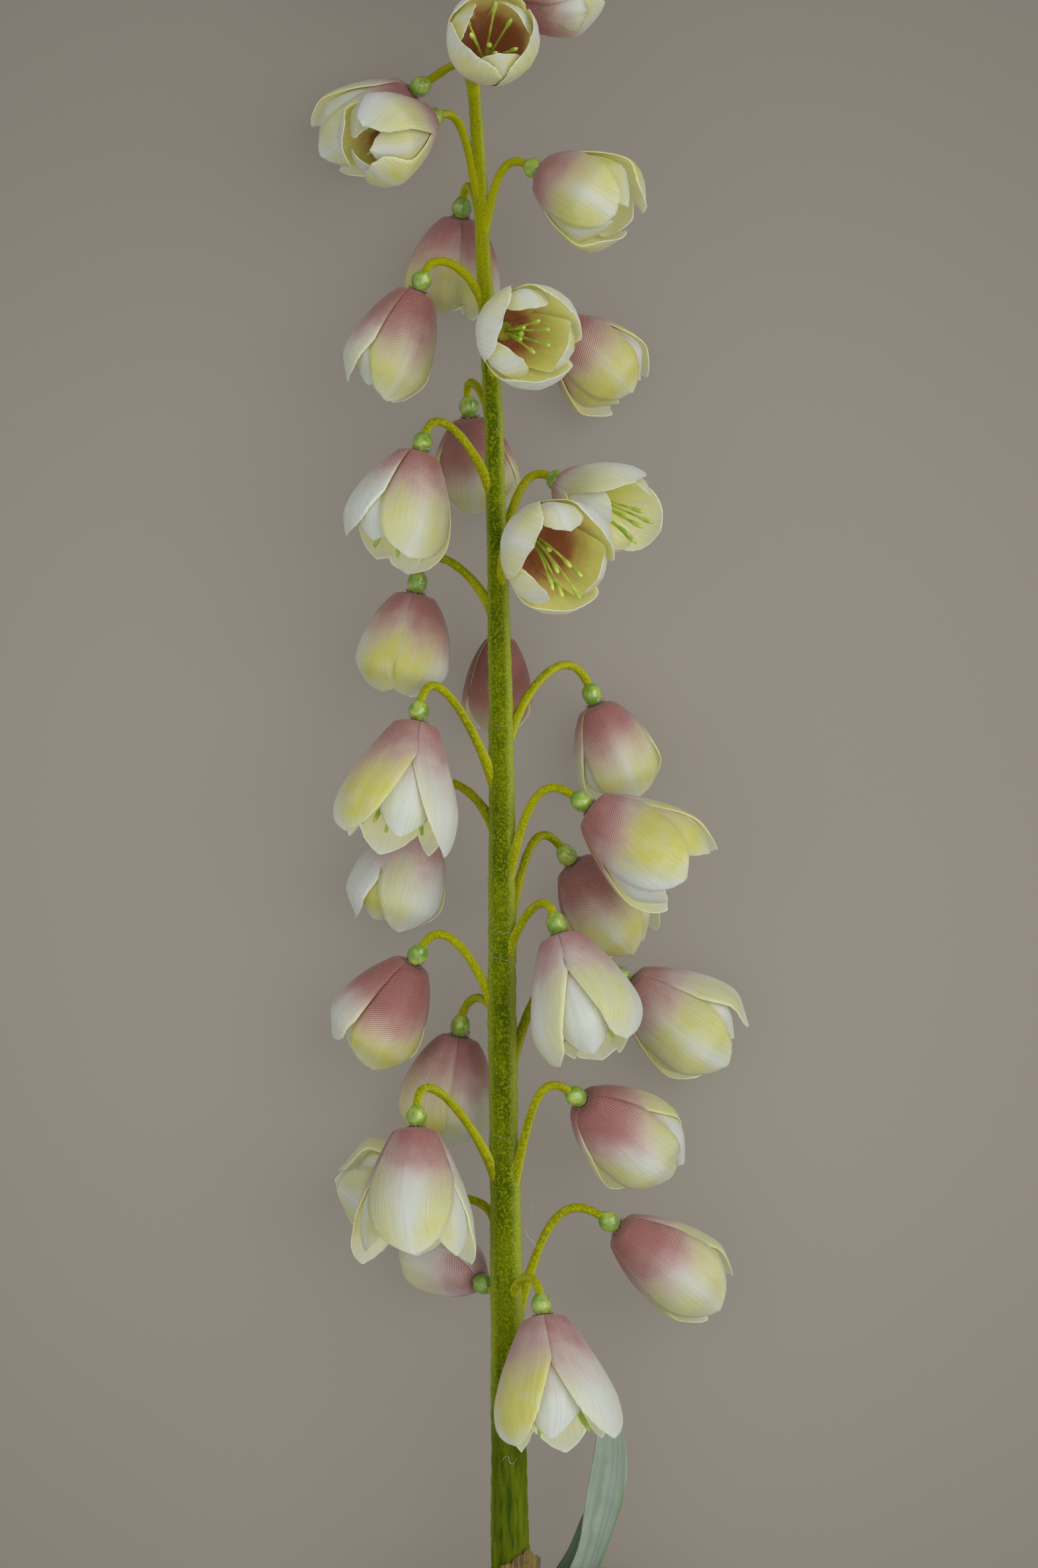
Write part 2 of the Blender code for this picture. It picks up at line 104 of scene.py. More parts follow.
# Main stem: (y, x, width) in mm, from the cut end to the tip, as the solids have it
stemLook = {
    "line": [
        (-262.0, -0.5, 9.0), (-225.0, -1.0, 9.0), (-185.0, -1.6, 8.8), (-165.5, -1.8, 8.3),
        (-138.0, -2.2, 7.4), (-94.0, -2.8, 6.6), (-71.5, -3.2, 6.0), (-54.5, -3.5, 6.1),
        (-14.5, -3.6, 5.6), (11.0, -3.8, 5.2), (31.0, -4.2, 4.8), (56.0, -4.8, 4.1),
        (79.5, -5.5, 4.0), (109.0, -7.4, 3.2), (132.0, -8.5, 2.8), (165.0, -10.5, 2.4),
        (190.0, -10.0, 1.8), (204.0, -9.0, 1.4),
    ],
    "sides": 40,
    "rings": 760,
    "lumps": 0.16,  # mm that the flocked surface wanders
    "fibres": 15000,
    "fibreLength": 0.5,
    # The last colour is painted light: it lightens both flanks, the right one most, where the light falls
    "colours": {"olive": (0.138, 0.173, 0.001), "light": (0.275, 0.32, 0.005), "dark": (0.045, 0.08, 0.001),
                "flank": (0.41, 0.48, 0.065)},
    "seed": 11,
}


def stemAt(y):  # the stem's centre and half width along it
    ys, xs, widths = np.array(stemLook["line"]).T
    x = through(y, np.stack([ys, xs], axis=1))
    return np.stack([x, y, np.zeros_like(x)], axis=-1), np.interp(y, ys, widths) / 2


def frameShift():  # from the flower's own mm to the frame's metres
    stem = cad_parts["stem"].data
    points = np.empty(len(stem.vertices) * 3)
    stem.vertices.foreach_get("co", points)
    points = points.reshape(-1, 3)
    ring = points[points[:, 1] < points[:, 1].min() + 1e-5]
    y, x, _ = stemLook["line"][0]
    return (ring.min(axis=0) + ring.max(axis=0)) / 2 - np.array([x, y, 0.0]) * mm


shift = frameShift()
floorLevel = -shift[2] / mm  # mm below the stem's axis


def addObject(name, data):  # an object of the scene, at the origin
    thing = bpy.data.objects.new(name, data)
    bpy.context.scene.collection.objects.link(thing)
    return thing


def makePiece(name, part, material, slot, *nodes):  # a grid or joined grids as an object on the frame
    mesh = bpy.data.meshes.new(name)
    points = part["points"] * mm + shift
    mesh.vertices.add(len(points))
    mesh.vertices.foreach_set("co", points.ravel())
    quads, tris = part["quads"], part["tris"]
    mesh.loops.add(quads.size + tris.size)
    mesh.loops.foreach_set("vertex_index", np.concatenate([quads.ravel(), tris.ravel()]).astype(np.int32))
    mesh.polygons.add(len(quads) + len(tris))
    starts = np.concatenate([np.arange(len(quads)) * 4, quads.size + np.arange(len(tris)) * 3])
    mesh.polygons.foreach_set("loop_start", starts.astype(np.int32))
    mesh.polygons.foreach_set("use_smooth", np.ones(len(starts), dtype=bool))
    for key, values in part["data"].items():
        layer = mesh.attributes.new(key, "FLOAT_VECTOR", "POINT")
        layer.data.foreach_set("vector", values.astype(np.float32).ravel())
    mesh.update(calc_edges=True)
    mesh.validate()
    mesh.materials.append(material)
    piece = addObject(name, mesh)
    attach(piece, "root")
    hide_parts(*nodes)


def bare(part, *keys):  # the part with only the attributes that are named
    return dict(part, data={key: part["data"][key] for key in keys})


def gather(parts):  # several grids as one mesh, end to end
    starts = np.cumsum([0] + [len(part["points"]) for part in parts[:-1]])
    faces = {kind: np.concatenate([part[kind] + start for part, start in zip(parts, starts)])
             for kind in ("quads", "tris")}
    data = {key: np.concatenate([part["data"][key] for part in parts]) for key in parts[0]["data"]}
    return {"points": np.concatenate([part["points"] for part in parts]), "data": data, **faces}


def gatherBare(parts):  # the same without attributes
    return gather([bare(part) for part in parts])


noTris = np.empty((0, 3), dtype=int)
noQuads = np.empty((0, 4), dtype=int)


def twoSides(top, low, faces, edges, data):  # a sheet's outer faces, its inner ones and its edges
    return {"points": np.concatenate([top.reshape(-1, 3), low.reshape(-1, 3)]),
            "quads": np.concatenate([faces[:, [0, 3, 2, 1]], faces + top.size // 3, *edges]), "tris": noTris,
            "data": {key: np.concatenate([side.reshape(-1, 3) for side in pair]) for key, pair in data.items()}}


def shell(top, low, data):  # two like grids, one on each side, closed by a rim
    rows, columns = top.shape[:2]
    count = rows * columns
    index = np.arange(count).reshape(rows, columns)
    faces = np.stack([index[:-1, :-1], index[:-1, 1:], index[1:, 1:], index[1:, :-1]], axis=-1).reshape(-1, 4)
    rim = np.concatenate([index[0], index[1:, -1], index[-1, -2::-1], index[-2:0:-1, 0]])
    after = np.roll(rim, -1)
    return twoSides(top, low, faces, [np.stack([rim, after, after + count, rim + count], axis=-1)], data)


def tube(rings, sides):  # quads between rings, and a fan at each end of the tube
    index = np.arange(rings * sides).reshape(rings, sides)
    after = np.roll(index, -1, axis=1)
    quads = np.stack([index[:-1], after[:-1], after[1:], index[1:]], axis=-1).reshape(-1, 4)
    first, last = np.full(sides, rings * sides), np.full(sides, rings * sides + 1)
    fans = [np.stack([first, after[0], index[0]], axis=-1), np.stack([last, index[-1], after[-1]], axis=-1)]
    return quads, np.concatenate(fans)


def sweep(path, radii, sides, towards):
    # rings round a path: centre + radius (cos across + sin other); both ends close in a point
    rings = len(path)
    ahead = unit(np.gradient(path, axis=0))
    across = unit(towards - ahead * (ahead @ np.asarray(towards, dtype=float))[:, None])
    other = np.cross(ahead, across)
    turn = circle(sides)
    radii = np.asarray(radii, dtype=float)
    radii = np.broadcast_to(radii if radii.ndim == 2 else radii.reshape(-1, 1), (rings, sides))
    grid = path[:, None] + radii[..., None] * (np.cos(turn)[None, :, None] * across[:, None]
                                               + np.sin(turn)[None, :, None] * other[:, None])
    quads, tris = tube(rings, sides)
    along = lengths(path)
    cloth = stacked(turn * radii.mean(), along[:, None], 0.0).reshape(-1, 3)
    return {"points": np.concatenate([grid.reshape(-1, 3), path[[0, -1]]]), "quads": quads, "tris": tris,
            "data": {"cloth": np.concatenate([cloth, [[0, 0, 0], [0, along[-1], 0]]])}, "grid": grid}


print("stage: shapes ready")


petalLook = {
    "rows": 44,
    "columns": 15,
    "thick": 0.14,
    "outerLayer": 0.25,  # mm that the outer petals lie outside the bell's form, and the inner ones inside
    "innerLayer": -0.42,
    "innerLength": 0.975,
    "uneven": 0.02,  # how much the petals differ in length
    "twist": 0.03,
    "lapAngle": 0.03,  # radians that an outer petal reaches past the seam with the next
    "tuck": 0.1,  # an outer petal has one margin over its neighbour and the other under
    "side": [(0.0, 0.11), (0.012, 0.27), (0.03, 0.385), (0.07, 0.475), (0.15, 0.61), (0.32, 0.82), (0.5, 0.95),
             (0.66, 1.0), (0.76, 0.99)],
    "cone": [(0.0, 0.11), (0.012, 0.25), (0.03, 0.345), (0.07, 0.41), (0.15, 0.51), (0.32, 0.69), (0.5, 0.86),
             (0.66, 0.97), (0.76, 1.0)],
    "halfWidth": [(0.0, 0.04), (0.012, 0.12), (0.03, 0.2), (0.08, 0.25), (0.16, 0.285), (0.32, 0.308), (0.5, 0.312),
                  (0.64, 0.294), (0.75, 0.248), (0.84, 0.184), (0.91, 0.122), (0.96, 0.066), (1.0, 0.01)],
    "bluntWidth": [(0.0, 0.04), (0.012, 0.12), (0.03, 0.2), (0.08, 0.25), (0.16, 0.285), (0.32, 0.308), (0.5, 0.314),
                   (0.64, 0.308), (0.75, 0.286), (0.84, 0.246), (0.91, 0.188), (0.95, 0.13), (0.975, 0.066),
                   (1.0, 0.01)],
    "sector": 1.08,  # widest half angle of a petal, in radians
    "boatOuter": (0.02, 0.05),
    "boatInner": (0.08, 0.16),
    "curlOuter": (0.07, 0.13),  # how far a tip bends inward, as a share of the length
    "curlInner": (0.13, 0.18),
    "tipLean": 0.035,  # how far a tip leans sideways, as a share of the length
    "pleat": (0.02, 0.08),
    "crease": 0.1,  # mm: ridge on the midrib, grooves beside it and rolled margins
    "groove": 0.1,
    "hem": 0.06,
    "wave": 0.1,
    "warp": 0.1,
    "fray": 0.035,  # raggedness of the margins near the tip
    "bothMargins": 0.6,  # share of the petals that are lime along both margins
    "nearFloor": 0.4,  # a bell that comes this near the floor is set to lie this far above it, in mm
    "offFloor": 0.05,
    "seed": 14,
}


# A petal is a strip of a bell: base + along axis + r (cos face + sin side), where the strip's half
# angle is its half width over r; pleats, crease, waves and a boat-like hollow move it along its
# normal, and its two faces lie half a thickness off the middle. Arrays go by petal, row, column
def bellPetals(bell, number):
    look = petalLook
    rng = np.random.default_rng(look["seed"] * 100 + number)
    axis, face, side = bell["axes"]
    length = bell["length"]
    each = (6, 1, 1)
    petal = np.arange(6).reshape(each)
    outer = petal % 2 == 0
    opens, aside, share = np.array([(*bell.get(k, (0, 0)), 1.0)[:3] for k in range(6)]).T.reshape(3, *each)
    mouth = [(0.88, (0.98 + bell["mouth"]) / 2), (1.0, bell["mouth"] * 0.96)]
    cone = np.clip((bell["mouth"] - 0.75) / 0.3, 0.1, 1)
    fine = np.linspace(0, 1, 400)
    out = through(fine, look["side"] + mouth) * (1 - cone) + through(fine, look["cone"] + mouth) * cone
    out = out * bell["radius"]
    arc = np.concatenate([[0], np.cumsum(np.hypot(np.diff(fine * length), np.diff(out)))])
    t = np.linspace(0, 1, look["rows"])[:, None]
    even = (t - 0.5 * np.sin(2 * math.pi * t) / (2 * math.pi)) * arc[-1]
    v = np.interp(even, arc, fine)
    u = np.linspace(-1, 1, look["columns"])

    opening = np.radians(np.where(outer, 1.0, -1.0) * np.abs(rng.normal(0, 1.0, each)) + opens)
    curl = np.where(outer, rng.uniform(*look["curlOuter"], each), rng.uniform(*look["curlInner"], each))
    curl = curl + bell["curl"]
    twist = rng.normal(0, look["twist"], each)
    boat = np.where(outer, rng.uniform(*look["boatOuter"], each), rng.uniform(*look["boatInner"], each))
    tipLean = rng.normal(0, look["tipLean"], each)
    stretch = np.where(outer, 1.0, look["innerLength"]) * (1 + rng.normal(0, look["uneven"], each)) * share
    blunt = np.clip(rng.uniform(0.1, 1, each) + bell["blunt"], 0, 1)

    r = (np.interp(v, fine, out) + length * np.tan(opening) * np.clip(v - 0.06, 0, 1)
         - curl * length * ease(v, 0.66, 1.08) ** 1.5)
    r = np.maximum(r, 0.6)
    shape = through(v, look["halfWidth"]) * (1 - blunt) + through(v, look["bluntWidth"]) * blunt
    w = np.minimum(shape * length * np.where(outer, bell["wide"], 1.0), r * look["sector"])
    ragged = np.array([wander(v * 90, number * 10 + k, 3) for k in range(6)])
    w = w * (1 + look["fray"] * ragged * ease(v, 0.6, 0.95))
    aside = np.radians(aside)
    sway = aside + twist * v + tipLean * length * ease(v, 0.6, 1.1) ** 2 / r
    centre = petal * math.pi / 3 + aside
    before = np.mod(centre - np.roll(centre, 2, axis=0), 2 * math.pi)
    after = np.mod(np.roll(centre, -2, axis=0) - centre, 2 * math.pi)
    seams = [np.where(outer, apart / 2 + look["lapAngle"], look["sector"]) for apart in (before, after)]
    half = np.where(u < 0, *(np.minimum(w / r, seam) for seam in seams))
    angle = (petal * math.pi / 3 + sway + half * u)[..., None]
    middle = (bell["base"] + (v * length * stretch)[..., None] * axis
              + r[..., None] * (np.cos(angle) * face + np.sin(angle) * side))
    normal = unit(np.cross(np.gradient(middle, axis=1), np.gradient(middle, axis=2)))

    phase = rng.uniform(0, 6.28, (6, 6)).T.reshape(6, *each)
    pleat = rng.uniform(*look["pleat"], each)
    margin = np.abs(u)
    body = ease(v, 0.04, 0.16) * (1 - ease(v, 0.72, 0.98))
    late = ease(v, 0.25, 0.8)
    offset = (np.where(outer, look["outerLayer"], look["innerLayer"]) * ease(v, 0.0, 0.06)
              - boat * w * u ** 2 * ease(v, 0.1, 0.6)
              + look["tuck"] * outer * u * ease(v, 0.0, 0.05)
              + pleat * np.cos(2 * math.pi * (2.1 * u + 0.12 * v) + phase[0]) * body
              + look["crease"] * bulge(u, 0, 0.075) * body
              - look["groove"] * bulge(margin, 0.42, 0.06) * body
              + look["hem"] * ease(margin, 0.86, 1.0) * late
              + look["wave"] * np.sin(7.0 * v + phase[1] + 1.5 * u) * margin ** 3 * late
              + look["warp"] * np.sin(3.1 * u + phase[2]) * np.sin(4.6 * v + phase[3]) * late)
    middle = middle + normal * offset[..., None]
    top, low = (middle + way * normal * look["thick"] / 2 for way in (1, -1))

    white = np.where(np.isin(petal, bell["white"]), 0.1, 1.0)
    lime = np.clip(bell["lime"] + rng.normal(0, 0.12, each), 0.05, 1) * white
    mauve = np.clip(bell["mauve"] + rng.normal(0, 0.06, each), 0.02, 1)
    lean = np.where(rng.uniform(0, 1, each) < 0.5, -1, 1)
    both = rng.uniform(0, 1, each) < look["bothMargins"]
    for k, way in bell["lean"].items():
        lean[k], both[k] = way, False
    where = np.where(both, 1.3 * margin - 0.3, lean * u) + 0.2 * np.sin(5.0 * v + phase[4])
    limeField = (ease(where + lime - 0.6, -0.55, 0.4) * (0.28 + 0.68 * lime) * ease(v, 0.12, 0.42)
                 * (1 - 0.5 * ease(v, 0.82, 1.0)))
    front = bell["soft"] * (v - mauve + 0.07 * lean * u + 0.07 * u ** 2 + 0.025 * np.sin(6.0 * u + phase[5]))
    dyes = stacked(front, limeField, lean)
    cloths = stacked(w * u, even, 17.0 * number + 3.1 * petal)
    places = [stacked(u, v, inside) for inside in (0.0, 1.0 + bell["deep"])]
    return gather([shell(*sides, {"cloth": (cloth, cloth), "place": places, "dye": (dye, dye)})
                   for *sides, cloth, dye in zip(top, low, cloths, dyes)])


# What a bell has unless its row says otherwise
bellUsual = {
    "rests": False,  # whether it is lowered until it lies on the floor
    "deep": 0.1,  # how far the brown reaches inside, as a share of the length
    "curl": 0.0,  # extra bend of the tips, inward above zero
    "blunt": 0.0,  # how much rounder the tips are
    "wide": 1.06,  # width of the outer petals
    "white": (),  # petals with hardly any lime
    "lean": {},  # petals whose lime keeps to one margin, -1 or 1
    "soft": 0.8,  # how quickly the mauve ends: lower is softer
    "reach": 0.86,  # length of the stamens, as a share of the bell's
    "spread": 0.27,  # how far they fan out, as a share of the bell's length
    "droop": 0.0,  # mm that their ends sink towards the foot
}

# A bell: place of the base, heading, tilt and turn in degrees, length, radius, width of the mouth as a
# share of the radius, where its stalk leaves the stem, share of the length that is mauve, how lime it is;
# then its own values, and single petals as number: degrees that it opens, degrees that it sits aside and
# share of the length. Petals 0, 2 and 4 are the outer ones
bellNames = ("x", "y", "z", "heading", "tilt", "turn", "length", "radius", "mouth", "joint", "mauve", "lime")
bellRows = [
    (-7.5, 150.0, 14.0, 63, 74, 21, 22.0, 9.4, 0.86, 147.0, 0.35, 0.5,
     {"deep": 0.42, "curl": -0.08, "blunt": 1.0, "wide": 1.5}),
    (-4.0, 166.0, 5.0, 0, 0, 30, 22.0, 10.0, 0.8, 158.0, 0.6, 0.4,
     {"curl": 0.06, "wide": 1.2, 4: (-7, 22), 2: (0, -14), "soft": 0.75}),
    (-23.0, 148.0, -9.0, 213, -12, 10, 22.5, 9.5, 0.85, 148.0, 0.2, 0.5, {"rests": True}),
    (-19.5, 139.5, 6.0, 210, 45, -25, 22.5, 9.6, 0.95, 125.5, 0.3, 0.6,
     {"deep": 0.4, "curl": 0.14, "blunt": 0.7, "wide": 1.12, "white": (4,)}),
    (5.0, 128.5, 6.0, -31, 25, -4, 22.5, 10.3, 0.85, 117.5, 0.24, 0.68,
     {"curl": 0.11, "blunt": 0.4, "wide": 1.2, "soft": 0.65}),
    (-12.5, 121.0, -14.0, -98, -14, 60, 21.0, 10.0, 0.8, 118.5, 0.42, 0.8,
     {"rests": True, 4: (0, 25), 0: (0, -10), "wide": 1.2, "soft": 0.6}),
    (-21.5, 104.0, 2.0, -112, 0, 24, 23.5, 9.2, 0.85, 102.0, 0.38, 0.9,
     {4: (0, 14), "wide": 1.2, "white": (4, 5), "soft": 0.6}),
    (-3.5, 95.0, 10.0, -22, 68, -3, 23.0, 10.6, 0.92, 85.5, 0.25, 0.5,
     {"curl": -0.02, "blunt": 0.8, "wide": 1.35, "white": (4,), "spread": 0.17}),
    (8.5, 98.0, -10.0, -43, -10, 2, 21.0, 10.0, 0.8, 93.0, 0.42, 1.0,
     {"rests": True, "wide": 1.25, "curl": 0.02, "white": (1,), "soft": 0.65}),
    (-10.5, 78.5, -14.0, -84, -10, -4, 20.5, 9.2, 0.8, 75.5, 0.55, 0.6, {"rests": True, "wide": 1.2}),
    (-21.0, 69.5, 6.0, -106, 12, 24, 23.5, 11.2, 0.95, 61.5, 0.3, 0.58,
     {4: (1, 22, 0.9), "curl": -0.03, "wide": 1.3, "blunt": 0.6, "white": (4, 5), "soft": 0.6}),
    (9.5, 63.5, -3.0, -32, 40, 45, 22.0, 10.0, 1.0, 49.5, 0.2, 0.55,
     {"deep": 0.0, "blunt": 0.4, "curl": -0.04, "wide": 1.25, "white": (5,), "spread": 0.14, "reach": 1.08}),
    (1.5, 52.5, 13.0, -40, 59, -16, 24.0, 12.0, 0.96, 42.0, 0.18, 0.5,
     {"deep": 0.25, "blunt": 0.3, "curl": -0.02, "wide": 1.3, "spread": 0.15, "reach": 0.9, "droop": 4.5}),
    (-22.0, 40.5, -4.5, -101, -4, 55, 22.0, 9.9, 0.8, 35.5, 0.46, 1.0,
     {0: (0, -30), 4: (0, 28), "wide": 1.36, "blunt": 0.9, "soft": 0.6, "lean": {4: 1, 0: -1}}),
    (-4.0, 31.5, -14.0, -92, -10, 0, 20.5, 7.2, 0.75, 26.0, 0.78, 0.3,
     {"rests": True, "wide": 1.2, "soft": 0.9}),
    (16.5, 17.0, -11.0, -69, -6, 8, 21.5, 9.0, 0.8, 7.5, 0.36, 0.62,
     {"rests": True, "wide": 1.25, "soft": 0.65}),
    (-21.5, 13.0, 8.0, -101, 10, 68, 27.0, 12.4, 1.08, -1.5, 0.26, 0.9,
     {"curl": -0.05, 4: (5, 4), 0: (0, -6), "wide": 1.08, "white": (5, 0), "soft": 0.55}),
    (-22.0, -8.5, -12.0, -106, -5, 24, 23.0, 10.4, 0.85, -11.5, 0.14, 0.72,
     {"rests": True, 4: (0, 20), "wide": 1.22, "white": (4,), "soft": 0.5}),
    (15.0, -5.0, 8.0, -36, 5, -4, 26.0, 11.4, 0.95, -20.5, 0.35, 0.95,
     {1: (1.5, -6), "wide": 1.15, "curl": -0.03, "white": (5,), "soft": 0.75}),
    (11.5, -17.0, -14.0, -54, -12, -12, 22.5, 9.8, 0.8, -33.5, 0.4, 0.9,
     {"rests": True, "wide": 1.22, "soft": 0.75}),
    (8.5, -31.5, 10.0, -73, 10, 56, 27.0, 11.5, 0.98, -37.0, 0.24, 0.55,
     {"wide": 1.08, "white": (5,), "soft": 0.6}),
    (23.5, -42.5, -9.0, -36, -6, -12, 26.0, 11.2, 0.85, -61.5, 0.2, 0.5,
     {"rests": True, 2: (0, -22), "wide": 1.18, "soft": 0.7}),
    (-22.5, -38.0, -2.0, -119, -15, 18, 23.5, 9.8, 0.85, -48.5, 0.48, 1.0,
     {4: (3, 30, 0.92), "wide": 1.2, "blunt": 0.5, "white": (4, 5), "soft": 0.8}),
    (-13.0, -54.0, -16.0, -101, -8, 51, 22.5, 10.2, 0.8, -50.5, 0.33, 0.55,
     {"rests": True, 0: (0, -13), 4: (0, 36), "wide": 1.2, "soft": 0.5}),
    (13.5, -67.0, 4.0, -39, -30, -8, 24.5, 10.3, 0.85, -86.5, 0.32, 0.7,
     {"wide": 1.22, 1: (3, -8, 1.1), "white": (1,), "soft": 0.8}),
    (-21.5, -72.0, 10.0, -91, 8, -6, 27.5, 12.6, 1.15, -85.0, 0.27, 0.55,
     {"curl": -0.06, "wide": 1.22, "white": (2,), "soft": 0.65}),
    (-18.0, -87.5, -11.0, 172, 0, 20, 20.5, 9.3, 0.72, -98.5, 0.1, 0.5,
     {"wide": 1.25, "blunt": 0.6, "curl": 0.17}),
    (-9.0, -105.5, -7.0, 152, -45, 30, 19.0, 8.2, 0.85, -113.0, 0.12, 0.6, {"wide": 1.15, "soft": 0.45}),
    (21.0, -94.0, -2.0, -35, -8, -2, 27.0, 9.4, 0.8, -114.5, 0.34, 0.65, {"wide": 1.22, "soft": 0.7}),
    (5.0, -111.0, 14.0, -82, 14, 58, 27.5, 12.4, 1.12, -109.0, 0.26, 0.8,
     {0: (3, -6), 4: (1, 14), "curl": -0.04, "wide": 1.02, "white": (5, 0), "soft": 0.5, "lean": {4: 1}}),
    (-1.0, 187.0, -4.0, -32, -8, 15, 17.0, 6.8, 0.7, 181.0, 0.4, 0.6, {}),
    (-19.0, 183.5, 2.0, 205, 6, -20, 17.5, 7.0, 0.7, 176.0, 0.4, 0.6, {}),
]


def readBell(row):  # a bell's values by name: the usual ones, then its own
    bell = {**bellUsual, **dict(zip(bellNames, row)), **row[-1]}
    bell["base"] = np.array([bell["x"], bell["y"], bell["z"]])
    bell["axes"] = directions(bell["heading"], bell["tilt"], bell["turn"])
    return bell


stalkLook = {
    "radius": 0.9,
    "sides": 12,
    "rings": 46,
    "lean": 0.32,  # how far a stalk leans out as it leaves the stem
    "rise": 0.55,  # reach of its first and last stretch, as shares of the span
    "drop": 0.45,
    "flare": 0.55,  # how much thicker it is where it leaves the stem
    "lumps": 0.05,
    "sink": 0.8,  # mm that its start is sunk into the stem, and how far below the joint it lies
    "below": 1.6,
    "nubStart": -4.0,  # mm from the bell's base at which it ends
    "fibres": 9000,
    "fibreLength": 0.26,
    # The last colour is painted light: it lightens both flanks, the right one most, where the light falls
    "colours": {"olive": (0.34, 0.34, 0.003), "light": (0.46, 0.47, 0.015), "dark": (0.20, 0.215, 0.002),
                "flank": (0.52, 0.54, 0.05)},
    "seed": 12,
}


def stalk(joint, base, axis, scale=1.0):
    # a cubic from inside the stem: up along it and out, over, and down along the bell's axis; the
    # stalk is thicker where it leaves the stem
    look = stalkLook
    centre, half = stemAt(np.array(joint))
    end = base + axis * look["nubStart"]
    outward = unit((end - centre) * [1, 0, 1])
    start = centre + outward * (half * 0.5 - look["sink"]) - np.array([0.0, look["below"], 0.0])
    span = np.linalg.norm(end - start)
    leave = unit(np.array([0.0, 1.0, 0.0]) + outward * look["lean"])
    second, third = start + leave * span * look["rise"], end - axis * span * look["drop"]
    t = np.linspace(0, 1, look["rings"])[:, None]
    path = (1 - t) ** 3 * start + 3 * t * (1 - t) ** 2 * second + 3 * t * t * (1 - t) * third + t ** 3 * end
    t = t[:, 0]
    radii = scale * look["radius"] * (1 + look["flare"] * bulge(t, 0, 0.22)
                                      + look["lumps"] * wander(t * 30, int(abs(joint) * 7)))
    return sweep(path, radii, look["sides"], unit(np.cross(end - start, second - start)))


beadLook = {
    "profile": [(-4.8, 0.8), (-4.4, 1.25), (-3.8, 1.75), (-3.0, 2.08), (-2.1, 2.15), (-1.2, 1.95), (-0.2, 1.4)],
    "sides": 18,
    "rings": 16,
    "lumps": 0.06,
    "teeth": 13,  # cut points of cloth round each bead, and longer threads between them
    "threads": 4,
    "tooth": {"lift": (0.2, 0.8), "sway": 0.4, "out": (0.5, 0.9), "radius": 0.24},
    "thread": {"lift": (0.6, 1.5), "sway": 0.9, "out": (0.9, 1.6), "radius": 0.05},
    "drop": (0.35, 0.75),  # radius of the glue drops
    "glaze": [(0.16, 0.30, 0.025), (0.40, 0.49, 0.08)],
    "glue": [(0.75, 0.80, 0.62), (0.92, 0.94, 0.86)],
    "cloth": [(0.16, 0.05, 0.04), (0.42, 0.24, 0.21)],
    "seed": 13,
}


def bead(bell, number):  # a lumpy drop turned round the bell's axis
    look = beadLook
    axis, face, _ = bell["axes"]
    along = np.linspace(look["profile"][0][0], look["profile"][-1][0], look["rings"])[:, None]
    lumps = look["lumps"] * np.sin(circle(look["sides"]) * 2 + number) * np.sin(along * 1.7 + number * 1.3)
    return [sweep(bell["base"] + along * axis, through(along, look["profile"]) * (1 + lumps), look["sides"], face)]


def beside(axes):  # two directions across each axis
    across = unit(np.cross(axes, (0.3, 0.2, 0.93)))
    return across, np.cross(axes, across)


def balls(centres, radii, axes, stretch, rings=9, sides=12):
    # many small drops at once: a globe of rings and sides for each, stretched along its axis
    lat, lon = np.linspace(0, math.pi, rings + 2)[1:-1, None], circle(sides)
    ring = stacked(np.sin(lat) * np.cos(lon), np.sin(lat) * np.sin(lon), -np.cos(lat)).reshape(-1, 3)
    local = np.concatenate([ring, [[0, 0, -1], [0, 0, 1]]])
    axes = unit(axes)
    across, other = (way[:, None] for way in beside(axes))
    points = (centres[:, None] + radii[:, None, None] * (
        local[None, :, :1] * across + local[None, :, 1:2] * other
        + local[None, :, 2:] * stretch[:, None, None] * axes[:, None]))
    starts = (np.arange(len(centres)) * len(local))[:, None, None]
    quads, tris = tube(rings, sides)
    return {"points": points.reshape(-1, 3), "quads": (quads[None] + starts).reshape(-1, 4),
            "tris": (tris[None] + starts).reshape(-1, 3), "data": {}}


stamenLook = {
    "count": 6, "radius": 0.3, "club": 0.6, "sides": 8, "rings": 24,
    "clear": 1.7,  # mm that they keep from the petals
    "colours": [(0.33, 0.49, 0.06), (0.58, 0.67, 0.14)],
    "seed": 15,
}


def stamens(bell, number):  # filaments that fan out of the base, each with a club
    look = stamenLook
    rng = np.random.default_rng(look["seed"] * 100 + number)
    axis, face, side = bell["axes"]
    t = np.linspace(0, 1, look["rings"])
    length = bell["length"]
    thick = look["radius"] * (1 - 0.25 * t) + (look["club"] - look["radius"]) * bulge(t, 0.92, 0.07)
    closed = (0.13 + bell["curl"]) * length * 0.5
    room = bell["radius"] * (1 + bell["mouth"]) / 2 - closed - look["clear"]
    short = 1 - 1.5 * max(bell["curl"], 0)
    parts = []
    for k in range(look["count"]):
        turn = 2 * math.pi * (k + 0.25) / look["count"] + rng.normal(0, 0.12)
        around = face * math.cos(turn) + side * math.sin(turn)
        reach = length * bell["reach"] * rng.uniform(0.88, 1.05) * short
        spread = min(length * bell["spread"], room) * rng.uniform(0.7, 1.0)
        bend = rng.normal(0, 0.5) * np.cross(axis, around) - [0.0, bell["droop"], 0.0]
        path = (bell["base"] + 0.6 * axis + (reach * t)[:, None] * axis
                + (0.35 + spread * t ** 1.3)[:, None] * around + (t ** 2)[:, None] * bend)
        parts.append(sweep(path, thick, look["sides"], around))
    path = bell["base"] + (0.4 + t * length * 0.5)[:, None] * axis
    style = 0.36 + 1.9 * bulge(t, 0, 0.18) + 0.3 * bulge(t, 0.96, 0.05)
    return [*parts, sweep(path, style, look["sides"], face)]


